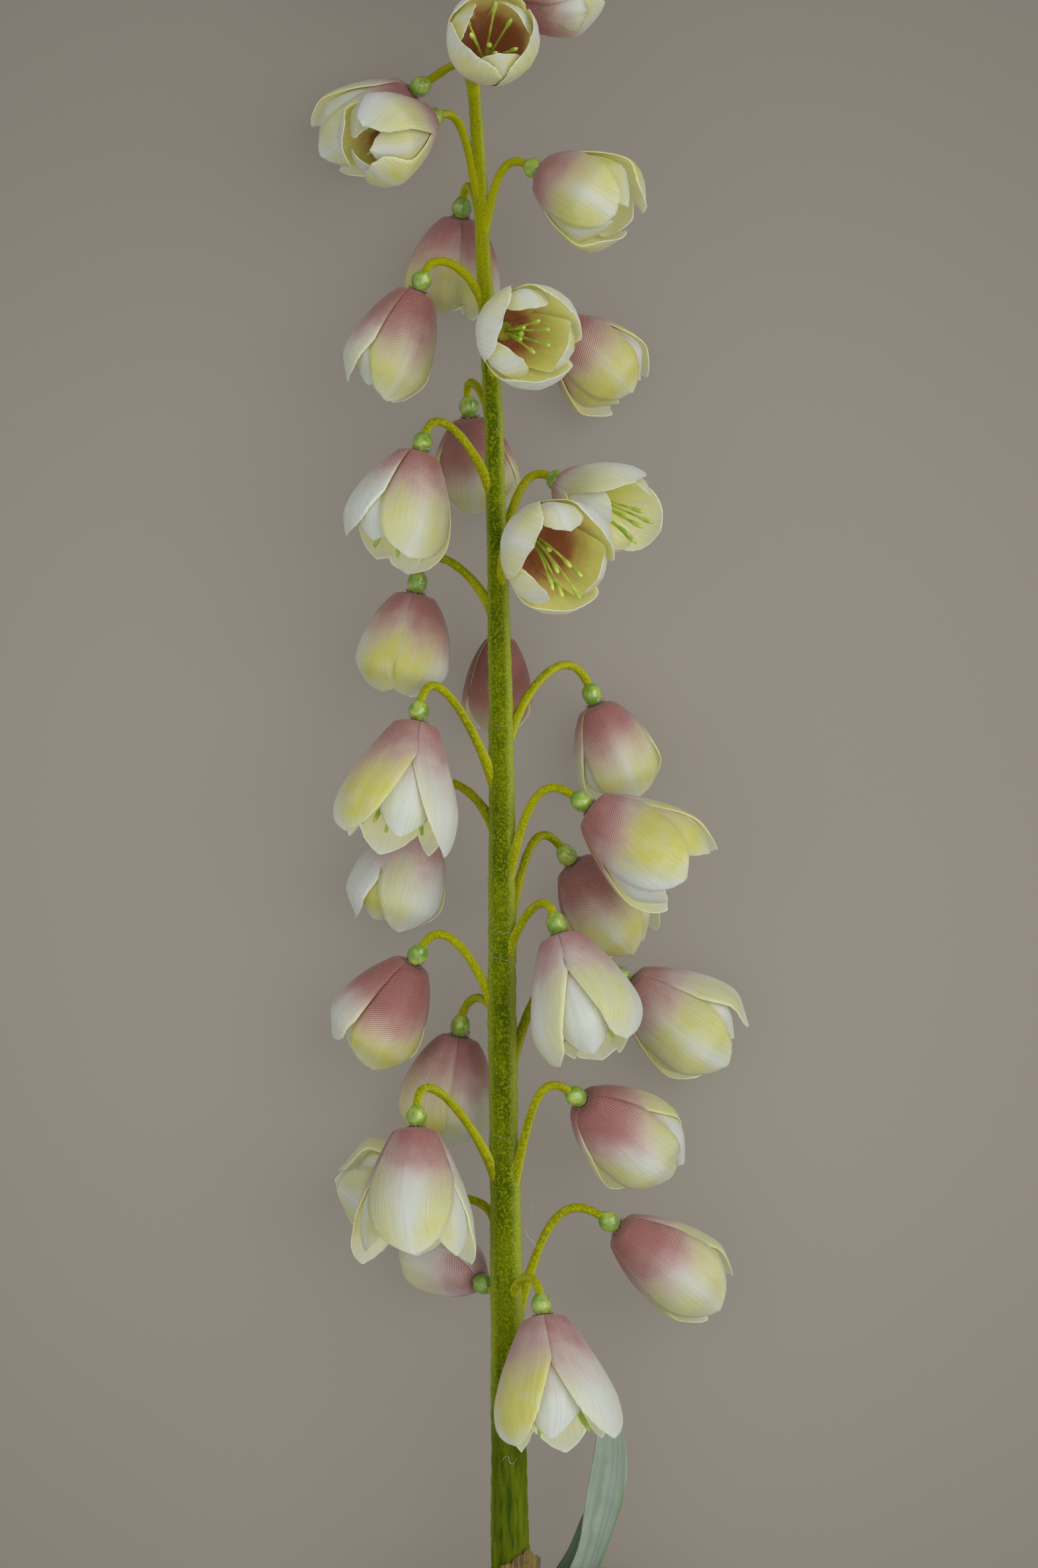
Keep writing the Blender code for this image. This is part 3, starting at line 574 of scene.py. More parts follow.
def threads(bell, number):  # the cut cloth's teeth and threads round the bead
    look = beadLook
    rng = np.random.default_rng(look["seed"] * 100 + number)
    axis, face, side = bell["axes"]
    parts = []
    t = np.linspace(0, 1, 6)[:, None]
    for k in range(look["teeth"] + look["threads"]):
        kind = look["tooth" if k < look["teeth"] else "thread"]
        turn = 2 * math.pi * (k + rng.uniform(-0.3, 0.3)) / look["teeth"]
        around = face * math.cos(turn) + side * math.sin(turn)
        across = np.cross(axis, around)
        root = bell["base"] + 0.1 * axis + 1.5 * around
        lift, sway, out = rng.uniform(*kind["lift"]), rng.normal(0, kind["sway"]), rng.uniform(*kind["out"])
        path = root + t * around * out - axis * lift * t * (1.35 - 0.5 * t) + across * sway * t * t
        parts.append(sweep(path, kind["radius"] * (1.1 - t[:, 0]), 4, across))
    return parts


def forBells(make):  # what a function makes for each bell, as one mesh
    return gatherBare([part for number, bell in enumerate(bells, 1) for part in make(bell, number)])


def glueDrops():  # clear drops of glue that hang on the beads
    rng = np.random.default_rng(beadLook["seed"])
    centres, radii, axes = [], [], []
    for bell in bells:
        axis = bell["axes"][0]
        for radius in rng.uniform(*beadLook["drop"], rng.integers(1, 4)):
            out = unit(np.array([0.9, rng.normal(0, 0.5), rng.uniform(0.2, 1.0)]))
            out = unit(out - axis * (out @ axis))
            centres.append(bell["base"] + axis * rng.uniform(-3.0, -1.0) + out * (1.95 - radius * 0.35))
            radii.append(radius)
            axes.append(out + rng.normal(0, 0.3, 3))
    return balls(np.array(centres), np.array(radii), np.array(axes), rng.uniform(0.7, 1.25, len(radii)))


strandLook = {  # glue threads: points and thickness; rings: y and share of a turn
    "paths": [
        ([(-8.0, 76.6, -10.0), (-6.6, 76.0, -4.0), (-5.2, 75.6, 1.9), (-4.2, 74.2, 2.4), (-3.6, 73.0, 2.2)], 0.07),
        ([(1.3, -93.6, 1.6), (1.9, -95.5, 2.2), (3.1, -96.7, 2.4), (3.7, -98.3, 2.0)], 0.09),
        ([(-3.7, -142.8, 4.0), (-3.1, -141.9, 4.1), (-2.3, -141.6, 4.15), (-2.0, -142.8, 4.1), (-1.2, -143.2, 4.1),
          (-0.5, -141.9, 4.0)], 0.1),
        ([(-2.6, 41.0, 2.3), (-1.4, 42.2, 2.6), (-0.2, 42.0, 2.4), (0.9, 43.4, 2.0)], 0.07),
        ([(2.2, -88.0, 2.0), (3.0, -89.4, 1.2), (2.6, -91.4, 0.4)], 0.06),
    ],
    "rings": [(-31.1, 0.42), (-36.8, 0.36), (-74.5, 0.4), (12.5, 0.33)],
}


def glueStrands():  # fine threads of glue: along paths on or near the stem
    parts = []
    t = np.linspace(0, 1, 24)
    for points, thick in strandLook["paths"]:
        path = curve(t, np.linspace(0, 1, len(points)), np.array(points, dtype=float))
        parts.append(sweep(path, thick * (1 - 0.6 * np.abs(2 * t - 1) ** 3), 6, (0.0, 0.0, 1.0)))
    for y, share in strandLook["rings"]:
        centre, half = stemAt(np.array(float(y)))
        turn = np.linspace(math.pi * (0.5 - share), math.pi * (0.5 + share), 24)
        around = np.stack([np.cos(turn), 0.12 * np.sin(turn * 3 + y), np.sin(turn)], axis=1)
        parts.append(sweep(centre + around * (half + 0.08), 0.05, 6, (0.0, 1.0, 0.0)))
    return gatherBare(parts)


def mainStem():  # the stem's round sections, lumpy where flocked
    look = stemLook
    y = np.linspace(look["line"][0][0], look["line"][-1][0], look["rings"])
    centre, half = stemAt(y)
    turn, y = circle(look["sides"]), y[:, None]
    lumps = look["lumps"] * (0.55 * wander(y * 0.31 + 1.7 * np.sin(turn), 3)
                             + 0.45 * wander(y * 1.1 + 2.3 * np.cos(turn), 5))
    lumps *= np.clip(half / 3, 0.35, 1)[:, None]
    return sweep(centre, half[:, None] + lumps, look["sides"], (0.0, 0.0, 1.0))


def fibres(grids, look):
    # short flock hairs: thin three-sided spikes that stand on random places of the given surfaces
    rng = np.random.default_rng(look["seed"])
    sizes = np.array([np.linalg.norm(np.diff(grid, axis=0), axis=-1).sum() for grid in grids])
    roots, normals = [], []
    for grid, share in zip(grids, sizes / sizes.sum()):
        number = int(look["fibres"] * share)
        ring = rng.integers(0, grid.shape[0], number)
        spot = rng.integers(0, grid.shape[1], number)
        mixed = rng.uniform(0, 1, (number, 1))
        root = grid[ring, spot] * mixed + grid[ring, (spot + 1) % grid.shape[1]] * (1 - mixed)
        roots.append(root)
        normals.append(unit(root - grid.mean(axis=1)[ring]))
    roots, normals = np.concatenate(roots), np.concatenate(normals)
    lean = unit(normals + rng.normal(0, 0.45, normals.shape))
    across, other = beside(lean)
    thick = rng.uniform(0.03, 0.05, (len(roots), 1))
    tall = look["fibreLength"] * rng.uniform(0.5, 1.2, (len(roots), 1))
    root = roots - 0.08 * normals
    points = np.stack([root + across * thick, root - across * thick * 0.5 + other * thick * 0.87,
                       root - across * thick * 0.5 - other * thick * 0.87, roots + lean * tall], axis=1)
    tris = np.array([[0, 2, 1], [0, 1, 3], [1, 2, 3], [2, 0, 3]]) + (np.arange(len(roots)) * 4)[:, None, None]
    return {"points": points.reshape(-1, 3), "quads": noQuads, "tris": tris.reshape(-1, 3), "data": {}}


# Buds: place, heading, tilt, length, radius, where the stalk leaves the stem
budLook = {
    "buds": [
        (-9.0, 211.0, 0.5, 80, 5, 11.0, 2.6, 200.0), (-15.5, 201.0, -3.0, 190, -10, 12.5, 3.2, 194.0),
        (-2.5, 204.0, 1.5, -5, 12, 12.0, 3.0, 196.5), (-9.5, 195.0, 8.0, -70, 62, 12.5, 3.2, 188.5),
        (-7.5, 193.0, -8.5, -40, -52, 12.5, 3.2, 187.0),
    ],
    "side": [(0.0, 0.34), (0.12, 0.72), (0.3, 0.98), (0.6, 1.0), (0.85, 0.6), (0.96, 0.25), (1.0, 0.04)],
    "lobes": 0.09,
    "sides": 36,
    "rings": 40,
    "stalk": 0.8,  # thickness of its stalk against a bell's
    "ground": {"cream": (0.52, 0.58, 0.30), "lime": (0.42, 0.50, 0.12)},
}


def bud(row):  # a closed bud: lobed sections that narrow to a point
    x, y, z, heading, tilt, length, radius, joint = row
    look = budLook
    base = np.array([x, y, z])
    axis, face, _ = directions(heading, tilt)
    t, turn = np.linspace(0, 1, look["rings"]), circle(look["sides"])
    lobes = 1 + look["lobes"] * (np.abs(np.sin(1.5 * turn + 0.5 * t[:, None])) ** 0.6 - 0.6)
    radii = through(t, look["side"])[:, None] * radius * lobes
    part = sweep(base + (t * length)[:, None] * axis, radii, look["sides"], face)
    v = np.append(np.repeat(t, look["sides"]), [0, 1])
    u = np.append(np.tile(np.sin(3 * turn), len(t)), [0, 0])
    part["data"]["place"] = stacked(u * 0.8, v, 0.0)
    part["data"]["dye"] = stacked(v - 0.2, 0.8 * ease(v, 0.1, 0.5), 1.0)
    return part, stalk(joint, base + axis * (-stalkLook["nubStart"] - 0.3), axis, look["stalk"])


sheathLook = {
    "low": -191.0, "high": -161.2,
    "drop": 3.3,  # mm that the torn edge falls with each radian from its peak
    "peak": 47.0,  # where the peak is, in degrees round the stem
    "dropEnd": 2.2,  # radians from the peak where it falls no further
    "wall": 0.35, "gap": 0.35, "wrinkle": 0.3, "around": 96, "along": 46,
    "dark": (0.075, 0.05, 0.006), "light": (0.20, 0.13, 0.02), "dry": (0.28, 0.18, 0.08),
}


def sheath():  # a wrinkled sleeve with a torn tongue on one side
    look = sheathLook
    turn = np.linspace(0, 2 * math.pi, look["around"], endpoint=False)
    share = np.linspace(0, 1, look["along"])[:, None]
    apart = np.abs(np.angle(np.exp(1j * (turn - math.radians(look["peak"])))))
    ragged = 0.22 * np.sin(turn * 23 + 1.0) + 0.3 * np.sin(turn * 11) + 0.12 * np.sin(turn * 41)
    high = look["high"] - look["drop"] * np.minimum(apart, look["dropEnd"]) + ragged
    y = look["low"] + share * (high - look["low"])
    centre, half = stemAt(y)
    wrinkle = look["wrinkle"] * (0.5 + 0.5 * np.sin(turn * 17 + 2 * np.sin(y * 0.3))) * ease(share, 0, 0.3)
    lift = (0.35 + 0.9 * bulge(turn, 0, 0.5)) * ease(share, 0.6, 1.0)
    around = stacked(np.cos(turn), 0.0, np.sin(turn))
    inner = half + look["gap"] + wrinkle + lift
    top, low = (centre + size[..., None] * around for size in (inner + look["wall"], inner))
    count = y.size
    bottom = np.arange(look["around"])
    edges = []
    for ring, order in ((bottom, (0, 1, 2, 3)), (bottom + count - look["around"], (3, 2, 1, 0))):
        after = np.roll(ring, -1)
        edges.append(np.stack([ring, after, after + count, ring + count], axis=-1)[:, order])
    cloth = stacked(turn * 5, y, 0.0)
    return twoSides(top, low, tube(look["along"], look["around"])[0], edges, {"cloth": (cloth, cloth)})


# Leaves: angle of the root, y of the root, points of the midrib, direction of the face, half width, waist
leafLook = {
    "leaves": [
        (0, -187.0, [(8.5, -177, -1.5), (13.6, -168, -2.5), (17.0, -156, -4), (19.2, -143, -6), (18.6, -128, -8)],
         (0.15, 0.2, 1.0), 4.2, 0.3),
        (185, -186.0, [(-10, -180, -2), (-18, -175.5, -5), (-28, -178, -10), (-36, -189, -17), (-39, -204, -23)],
         (0.2, 0.9, 1.0), 5.2, 0.0),
        (75, -187.5, [(2, -178, 10), (7, -173, 15), (15, -175, 18), (25, -187, 16), (32, -204, 8),
                      (35, -219, -2)], (-0.2, 0.9, 1.0), 5.2, 0.0),
        (-50, -186.5, [(6, -178, -7), (14, -173, -11), (26, -175, -16), (37, -185, -20), (44, -199, -23.5)],
         (-0.2, 0.8, 1.0), 5.0, 0.0),
    ],
    "rows": 120, "columns": 25, "thick": 0.34,
    "root": 0.32,  # width at the root, as a share of the widest
    "channel": 0.35,  # how deep the blade is folded along its midrib
    "lap": 5.0,  # mm that a leaf runs up the sheath before it turns away
    "clear": 0.55,  # mm between the sheath and the leaf
    "twist": 0.6,  # share of the length over which it turns to its face
    "rib": 0.06, "wave": 0.35,
    "fold": {"rows": (0.1, 0.56), "width": 6.5, "way": (-0.86, -0.1, -0.5), "face": (0.45, 0.1, 0.88),
             "sink": 0.25},
}


def leaf(row, number):
    # a lance-shaped strip on its midrib, folded along it, turning from the stem's side to its face
    look = leafLook
    angle, root, points, facing, halfWidth, waist = row
    turn = math.radians(angle)
    out = np.array([math.cos(turn), 0.0, math.sin(turn)])
    seat = (sheathLook["gap"] + sheathLook["wall"] + look["clear"] + look["thick"] / 2
            + halfWidth * look["root"] * look["channel"])
    lap = [centre + out * (half + seat) for centre, half in
           (stemAt(np.array(root + step)) for step in (0.0, look["lap"]))]
    knots = np.array(lap + points, dtype=float)
    reach = lengths(knots)
    t = np.linspace(0, 1, look["rows"])[:, None]
    path = curve(t[:, 0] * reach[-1], reach, knots)
    ahead = unit(np.gradient(path, axis=0))
    turned = ease(t, 0, look["twist"])
    across = unit(np.cross(ahead, unit(facing) * turned - out * (1 - turned)))
    normal = np.cross(across, ahead)[:, None]
    rootwards = np.minimum(look["root"] + 2.9 * t * (1 - t), 1.0)
    tipwards = 0.02 + 2.1 * np.sqrt(np.clip(1 - t, 0, 1)) * ease(1 - t, -0.25, 0.3)
    width = halfWidth * (1 - waist * bulge(t, 0.42, 0.16)) * np.minimum(rootwards, tipwards)
    u = np.linspace(-1, 1, look["columns"])
    ribs = look["rib"] * np.cos(u * math.pi * 7) * (1 - np.abs(u) ** 4)
    wave = look["wave"] * np.sin(t * 19 + number) * np.abs(u) ** 3 * ease(t, 0.15, 0.5)
    middle = (path[:, None] + (width * u)[..., None] * across[:, None]
              + (width * (look["channel"] * np.abs(u) ** 1.3) + ribs + wave)[..., None] * normal)
    face = unit(np.cross(np.gradient(middle, axis=0), np.gradient(middle, axis=1))) * look["thick"] / 2
    cloth = stacked(width * u, t * reach[-1], 9.0 * number)
    blade = shell(middle + face, middle - face,
                  {"cloth": (cloth, cloth), "place": [stacked(u, t, inside) for inside in (0.0, 1.0)]})
    if number != 1:
        return blade
    fold = look["fold"]  # the lower left margin of the first leaf, folded down
    rows = slice(*(int(share * look["rows"]) for share in fold["rows"]))
    edge, down = middle[rows, 0], np.linspace(0, 1, 9)[None, :, None]
    share = np.linspace(1, 0, len(edge))[:, None, None]
    lapped = (edge[:, None] + down * share ** 0.8 * (fold["width"] * np.array(fold["way"]))
              - 0.5 * np.sin(down * math.pi) * share * normal[rows])
    beyond = np.broadcast_to(np.array(fold["face"]), lapped.shape) * look["thick"] / 2
    # a place of 2 marks the folded margin, which the satin covers with painted shade
    dark = np.broadcast_to(np.array([0.0, 0.5, 2.0]), lapped.shape)
    weft = cloth[rows, :9]
    sunk = [0, 0, fold["sink"]]
    return gather([blade, shell(lapped + beyond - sunk, lapped - beyond - sunk,
                                {"cloth": (weft, weft), "place": (dark, dark)})])


# Short names for the nodes of a material: each call adds nodes and gives their output
class Graph:
    def __init__(self, name):
        self.material = bpy.data.materials.new(name)
        self.material.cycles.emission_sampling = "NONE"
        self.material.use_nodes = True
        self.tree = self.material.node_tree
        self.shader = self.tree.nodes["Principled BSDF"]

    def put(self, socket, value):
        if isinstance(value, bpy.types.NodeSocket):
            self.tree.links.new(value, socket)
        elif isinstance(value, tuple) and len(value) == 3 and socket.type == "RGBA":
            socket.default_value = (*value, 1.0)
        else:
            socket.default_value = value

    def add(self, kind, inputs, **options):  # a node with its options, and inputs by name or number
        node = self.tree.nodes.new("ShaderNode" + kind)
        for key, value in options.items():
            setattr(node, key, value)
        for key, value in inputs.items():
            self.put(node.inputs[key], value)
        return node.outputs

    def math(self, kind, a, b=0.0, c=0.0):
        return self.add("Math", {0: a, 1: b, 2: c}, operation=kind)[0]

    def plus(self, a, b):
        return self.math("ADD", a, b)

    def minus(self, a, b):
        return self.math("SUBTRACT", a, b)

    def times(self, a, b):
        return self.math("MULTIPLY", a, b)

    def blend(self, a, b, c):  # a times b, plus c
        return self.math("MULTIPLY_ADD", a, b, c)

    def split(self, vector):
        return list(self.add("SeparateXYZ", {0: vector}))

    def attribute(self, name):  # the attribute as a vector, then its three parts
        vector = self.add("Attribute", {}, attribute_name=name)["Vector"]
        return vector, *self.split(vector)

    def object(self):
        return self.add("TexCoord", {})["Object"]

    def noise(self, vector, scale, detail=2.0, rough=0.5):
        return self.add("TexNoise", {"Vector": vector, "Scale": scale, "Detail": detail, "Roughness": rough})["Fac"]

    def stretch(self, vector, scale):
        return self.add("Mapping", {"Vector": vector, "Scale": scale})[0]

    def spread(self, value, low, high, first=0.0, last=1.0):
        inputs = dict(enumerate((value, low, high, first, last)))
        return self.add("MapRange", inputs, interpolation_type="SMOOTHSTEP")[0]

    def mix(self, share, first, second, kind="MIX"):
        return self.add("Mix", {0: share, 6: first, 7: second}, data_type="RGBA", blend_type=kind)[2]

    def layers(self, look, first, **shares):  # the look's first colour, others laid over it by their shares
        colour = look[first]
        for name, share in shares.items():
            colour = self.mix(share, colour, look[name])
        return colour

    def bump(self, height, strength, distance):
        inputs = {"Height": height, "Strength": strength, "Distance": distance}
        self.put(self.shader.inputs["Normal"], self.add("Bump", inputs)["Normal"])

    def finish(self, **values):
        for key, value in values.items():
            self.put(self.shader.inputs[key.replace("_", " ")], value)
        return self.material


# Colours of the petals: the dyes outside, the lining, the tone of the painted sheen streaks, and the pitch of the
# ribs in mm
petalColours = {
    "cream": (0.645, 0.70, 0.63), "lime": (0.57, 0.56, 0.125), "mauve": (0.41, 0.158, 0.145),
    "plum": (0.225, 0.07, 0.058), "blush": (0.62, 0.41, 0.39), "brown": (0.42, 0.14, 0.06),
    "amber": (0.74, 0.48, 0.16), "olive": (0.86, 0.84, 0.24), "pale": (0.86, 0.86, 0.52),
    "rib": (0.2, 0.065, 0.055), "burnt": (0.15, 0.045, 0.03), "streak": (0.8, 0.81, 0.75),
    "ribPitch": 0.5, "ribSlant": 0.5, "ribDepth": (0.07, 0.58),
}


def petalCloth(name="petalCloth", ground=None):
    # satin cloth: cream, a lime drift along its margins, mauve sprayed on from the base; inside it goes
    # from brown over amber to pale and glows a little, painted light for what shines through; fine ribs show where it
    # is mauve
    look = dict(petalColours, **(ground or {}))
    g = Graph(name)
    cloth, across, along, _ = g.attribute("cloth")
    _, u, v, side = g.attribute("place")
    _, base, lime, lean = g.attribute("dye")
    inside, deep = g.math("MINIMUM", side, 1.0), g.math("MAXIMUM", g.minus(side, 1.0), 0.0)
    margin = g.math("ABSOLUTE", u)
    blotch = g.minus(g.noise(cloth, 0.22, 2.0, 0.45), 0.5)
    grain = g.noise(cloth, 3.2, 2.0, 0.6)
    front = g.blend(blotch, 0.16, base)
    slanted = g.plus(along, g.times(across, g.times(lean, look["ribSlant"])))
    rib = g.math("SINE", g.times(slanted, 2 * math.pi / look["ribPitch"]))
    depth = g.spread(front, 0.2, -0.1, *look["ribDepth"])
    body = g.layers(look, "cream",
                    lime=g.times(lime, g.blend(blotch, 1.1, 1.0)),
                    blush=g.spread(front, 0.26, -0.04, 0.0, 0.8),
                    mauve=g.spread(front, 0.13, -0.16),
                    plum=g.spread(front, -0.05, -0.45, 0.0, 0.65),
                    rib=g.times(g.spread(rib, 0.2, -1.0), depth),
                    burnt=g.times(g.spread(margin, 0.9, 1.0), g.spread(front, 0.1, -0.12, 0.0, 0.6)),
                    pale=g.times(g.spread(margin, 0.92, 1.0), g.spread(front, -0.05, 0.2, 0.0, 0.3)))
    within = g.minus(g.blend(blotch, 0.25, v), deep)
    lining = g.layers(look, "brown",
                      amber=g.spread(within, -0.05, 0.15),
                      olive=g.spread(within, 0.05, 0.3),
                      pale=g.spread(within, 0.3, 0.75),
                      cream=g.spread(v, 0.78, 1.0, 0.0, 0.8))
    colour = g.mix(inside, body, lining)
    # painted sheen: darker lengthwise streaks stand for the satin's sheen bands; the same streaks also give the bump
    # its relief
    streak = g.noise(g.stretch(cloth, (2.2, 0.1, 1.0)), 1.0, 3.0, 0.55)
    colour = g.mix(g.spread(streak, 0.6, 0.35, 0.0, 0.4), colour, look["streak"], "MULTIPLY")
    flecks = g.noise(g.stretch(cloth, (4.0, 4.0, 1.0)), 1.0, 2.0, 0.7)
    colour = g.mix(g.spread(flecks, 0.45, 0.75, 0.0, 0.12), colour, look["blush"])
    g.bump(g.blend(g.times(rib, depth), 2.0, g.blend(streak, 2.0, grain)), 0.35, 0.00014)
    # painted light: the lining glows a little with its own colour, standing for light that shines through the cloth
    paintedThroughLight = g.times(inside, g.spread(within, 0.1, 0.6, 0.03, 0.1))
    return g.finish(Base_Color=colour, Emission_Color=lining, Emission_Strength=paintedThroughLight,
                    Roughness=0.52, Sheen_Weight=0.2, Sheen_Roughness=0.4,
                    Subsurface_Weight=0.45, Subsurface_Scale=1.0, Subsurface_Radius=(0.0016, 0.0015, 0.0009),
                    Specular_IOR_Level=0.35)


# Flock of the stem and the stalks, and the bare foot
flockLook = {
    "young": (0.32, 0.32, 0.002), "sheen": (0.65, 0.8, 0.02),
    "youngFrom": (84.0, 114.0),  # mm along the stem where it turns yellower
    "bareFrom": (-122.0, -142.0),  # and where the flock ends
    "dull": (0.03, 0.055, 0.0005), "fresh": (0.07, 0.10, 0.001), "bright": (0.115, 0.15, 0.002),
    # The edge colour is painted light on both flanks of the bare foot
    "edge": (0.16, 0.21, 0.01),
    "fibre": [(0.18, 0.22, 0.004), (0.46, 0.52, 0.06)],
}


def stemFlock(name, colours):
    # mottled flock, yellower near the tip, with painted light that makes both flanks paler, the right one most; the
    # bare foot is smooth and streaky, with the same painted light on its flanks
    look = {**flockLook, **colours}
    g = Graph(name)
    where = g.object()
    bands, specks = g.noise(where, 90.0, 4.0, 0.65), g.noise(where, 1700.0, 3.0, 0.7)
    fuzz = g.noise(where, 3600.0, 2.0, 0.6)
    height, towardsRight = g.split(where)[1], g.split(g.add("NewGeometry", {})["Normal"])[0]
    young = g.spread(height, *(shift[1] + y * mm for y in look["youngFrom"]), 0.0, 0.8)
    # painted light: how much both flanks are lightened, the right one most, by the way the surface faces
    litFlankShare = g.plus(g.spread(towardsRight, 0.25, 0.98, 0.0, 0.95), g.spread(towardsRight, -0.5, -1.0, 0.0, 0.6))
    colour = g.layers(look, "dark",
                      olive=g.spread(bands, 0.38, 0.6, 0.15, 1.0),
                      light=g.spread(specks, 0.46, 0.62, 0.0, 0.8),
                      dark=g.spread(fuzz, 0.36, 0.52, 0.65, 0.0),
                      young=g.times(young, g.spread(fuzz, 0.3, 0.6, 0.5, 1.0)),
                      flank=g.times(litFlankShare, g.spread(fuzz, 0.3, 0.6, 0.6, 1.0)))
    bareFoot = g.spread(height, *(shift[1] + y * mm for y in look["bareFrom"]))
    lengthwise = g.stretch(where, (1.0, 0.14, 1.0))
    streaks = g.noise(lengthwise, 1100.0, 3.0, 0.55)
    # the bare foot gets the same painted light on its flanks
    smooth = g.layers(look, "dull",
                      fresh=g.spread(streaks, 0.35, 0.62),
                      bright=g.spread(g.noise(lengthwise, 480.0), 0.45, 0.7),
                      edge=g.times(litFlankShare, 0.45))
    g.bump(g.mix(bareFoot, g.plus(specks, fuzz), streaks), 0.8, 0.0003)
    return g.finish(Base_Color=g.mix(bareFoot, colour, smooth), Roughness=g.blend(bareFoot, -0.25, 0.85),
                    Sheen_Weight=0.35, Sheen_Roughness=0.35, Sheen_Tint=look["sheen"], Specular_IOR_Level=0.05)


def plain(name, pair, scale, low=0.35, high=0.65, **values):  # two colours mixed by a soft noise
    g = Graph(name)
    tone = g.spread(g.noise(g.object(), scale), low, high)
    return g, g.finish(Base_Color=g.mix(tone, *pair), **values)


def fibreCoat():  # pale yellow-green hair
    return plain("flockFibre", flockLook["fibre"], 500.0, Roughness=0.7, Specular_IOR_Level=0.3)[1]


def beadGlaze():  # glossy green drop, yellower in places
    g, glaze = plain("beadGlaze", beadLook["glaze"], 420.0, 0.35, 0.7, Roughness=0.2, Coat_Weight=0.8,
                     Coat_Roughness=0.05, Subsurface_Weight=0.6, Subsurface_Scale=1.0,
                     Subsurface_Radius=(0.001, 0.0016, 0.0005))
    g.bump(g.noise(g.object(), 900.0, 1.0, 0.5), 0.2, 0.0003)
    return glaze


def clearGlue():  # clear set glue
    g = Graph("clearGlue")
    colour = g.mix(g.noise(g.object(), 600.0, 1.0, 0.5), *beadLook["glue"])
    return g.finish(Base_Color=colour, Roughness=0.06, Transmission_Weight=0.85, IOR=1.45)


def threadCloth():  # loose threads of the mauve cloth
    g = Graph("frayedThread")
    return g.finish(Base_Color=g.mix(g.noise(g.object(), 300.0, 1.0, 0.5), *beadLook["cloth"]), Roughness=0.7)


def stamenGreen():  # bright green, yellower in places
    return plain("stamenGreen", stamenLook["colours"], 350.0, Roughness=0.42, Subsurface_Weight=0.2,
                 Subsurface_Scale=1.0, Subsurface_Radius=(0.0006, 0.001, 0.0003))[1]


def sheathPaper():  # dry brown paper with long fibres
    g = Graph("sheathPaper")
    across = g.attribute("cloth")[1]
    lines = g.noise(g.object(), 260.0, 4.0, 0.7)
    streak = g.math("SINE", g.blend(lines, 6.0, g.times(across, 5.0)))
    colour = g.layers(sheathLook, "dark", light=g.spread(lines, 0.35, 0.65), dry=g.spread(streak, 0.2, 1.0, 0.0, 0.4))
    g.bump(streak, 0.4, 0.0003)
    return g.finish(Base_Color=colour, Roughness=0.75, Sheen_Weight=0.1)


# Colours of the leaves, the painted shade of the folded margin, and the pitch of their threads in mm
leafColours = {
    "dull": (0.38, 0.445, 0.42), "light": (0.50, 0.56, 0.54), "crease": (0.17, 0.21, 0.11),
    "edge": (0.13, 0.27, 0.05), "root": (0.16, 0.24, 0.06), "back": (0.10, 0.17, 0.08),
    "fold": (0.045, 0.085, 0.035), "weave": (0.12, 0.16, 0.10), "warpPitch": 0.42, "weftPitch": 0.5,
}


def leafSatin():  # woven grey-green ribbon with an olive crease, and painted shade on the folded-down margin
    look = leafColours
    g = Graph("leafSatin")
    cloth, across, along, _ = g.attribute("cloth")
    _, u, v, side = g.attribute("place")
    back, lapped = g.math("MINIMUM", side, 1.0), g.math("MAXIMUM", g.minus(side, 1.0), 0.0)
    drift = g.noise(cloth, 0.22, 3.0, 0.55)
    off = g.math("ABSOLUTE", g.plus(u, g.blend(drift, 0.5, 0.1)))
    warp = g.math("SINE", g.times(g.blend(along, 0.12, across), 2 * math.pi / look["warpPitch"]))
    weft = g.math("SINE", g.times(along, 2 * math.pi / look["weftPitch"]))
    weave = g.times(warp, weft)
    colour = g.layers(look, "dull",
                      light=g.spread(drift, 0.3, 0.7),
                      crease=g.times(g.times(g.spread(off, 0.3, 0.0), g.spread(v, 0.95, 0.6)), 0.55),
                      edge=g.times(g.spread(u, 0.84, 0.95), g.spread(v, 0.72, 0.6)),
                      root=g.spread(v, 0.25, 0.0, 0.0, 0.6),
                      back=g.times(back, 0.6),
                      # painted shade on the folded-down margin
                      fold=lapped,
                      weave=g.spread(weave, 0.1, -1.0, 0.0, 0.28))
    g.bump(weave, 0.3, 0.00012)
    return g.finish(Base_Color=colour, Roughness=0.42, Sheen_Weight=0.25, Specular_IOR_Level=0.4)


cloth = petalCloth()
bells = [readBell(row) for row in bellRows]
for number, bell in enumerate(bells, 1):
    petals = bellPetals(bell, number)
    lowest = petals["points"][:, 2].min()
    rests = bell["rests"] or lowest < floorLevel + petalLook["nearFloor"]
    lift = floorLevel - lowest + petalLook["offFloor"] if rests else 0.0
    bell["base"][2] += lift
    petals["points"][:, 2] += lift
    makePiece(f"bell{number:02d}Petals", petals, cloth, "petal", f"bell_{number:02d}")
print("stage: bells")

mainPart = mainStem()
budParts, budStalks = zip(*[bud(row) for row in budLook["buds"]])
stalkParts = [stalk(bell["joint"], bell["base"], bell["axes"][0]) for bell in bells] + list(budStalks)
stemMaterial = stemFlock("stemFlock", stemLook["colours"])
makePiece("mainStem", bare(mainPart), stemMaterial, "stem", "stem")
makePiece("stalks", gatherBare(stalkParts), stemFlock("stalkFlock", stalkLook["colours"]), "stem", "stem")
hair = fibreCoat()
makePiece("stemFibres", fibres([mainPart["grid"]], stemLook), hair, "stem", "stem")
makePiece("stalkFibres", fibres([part["grid"] for part in stalkParts], stalkLook), hair, "stem", "stem")
print("stage: stem and stalks")

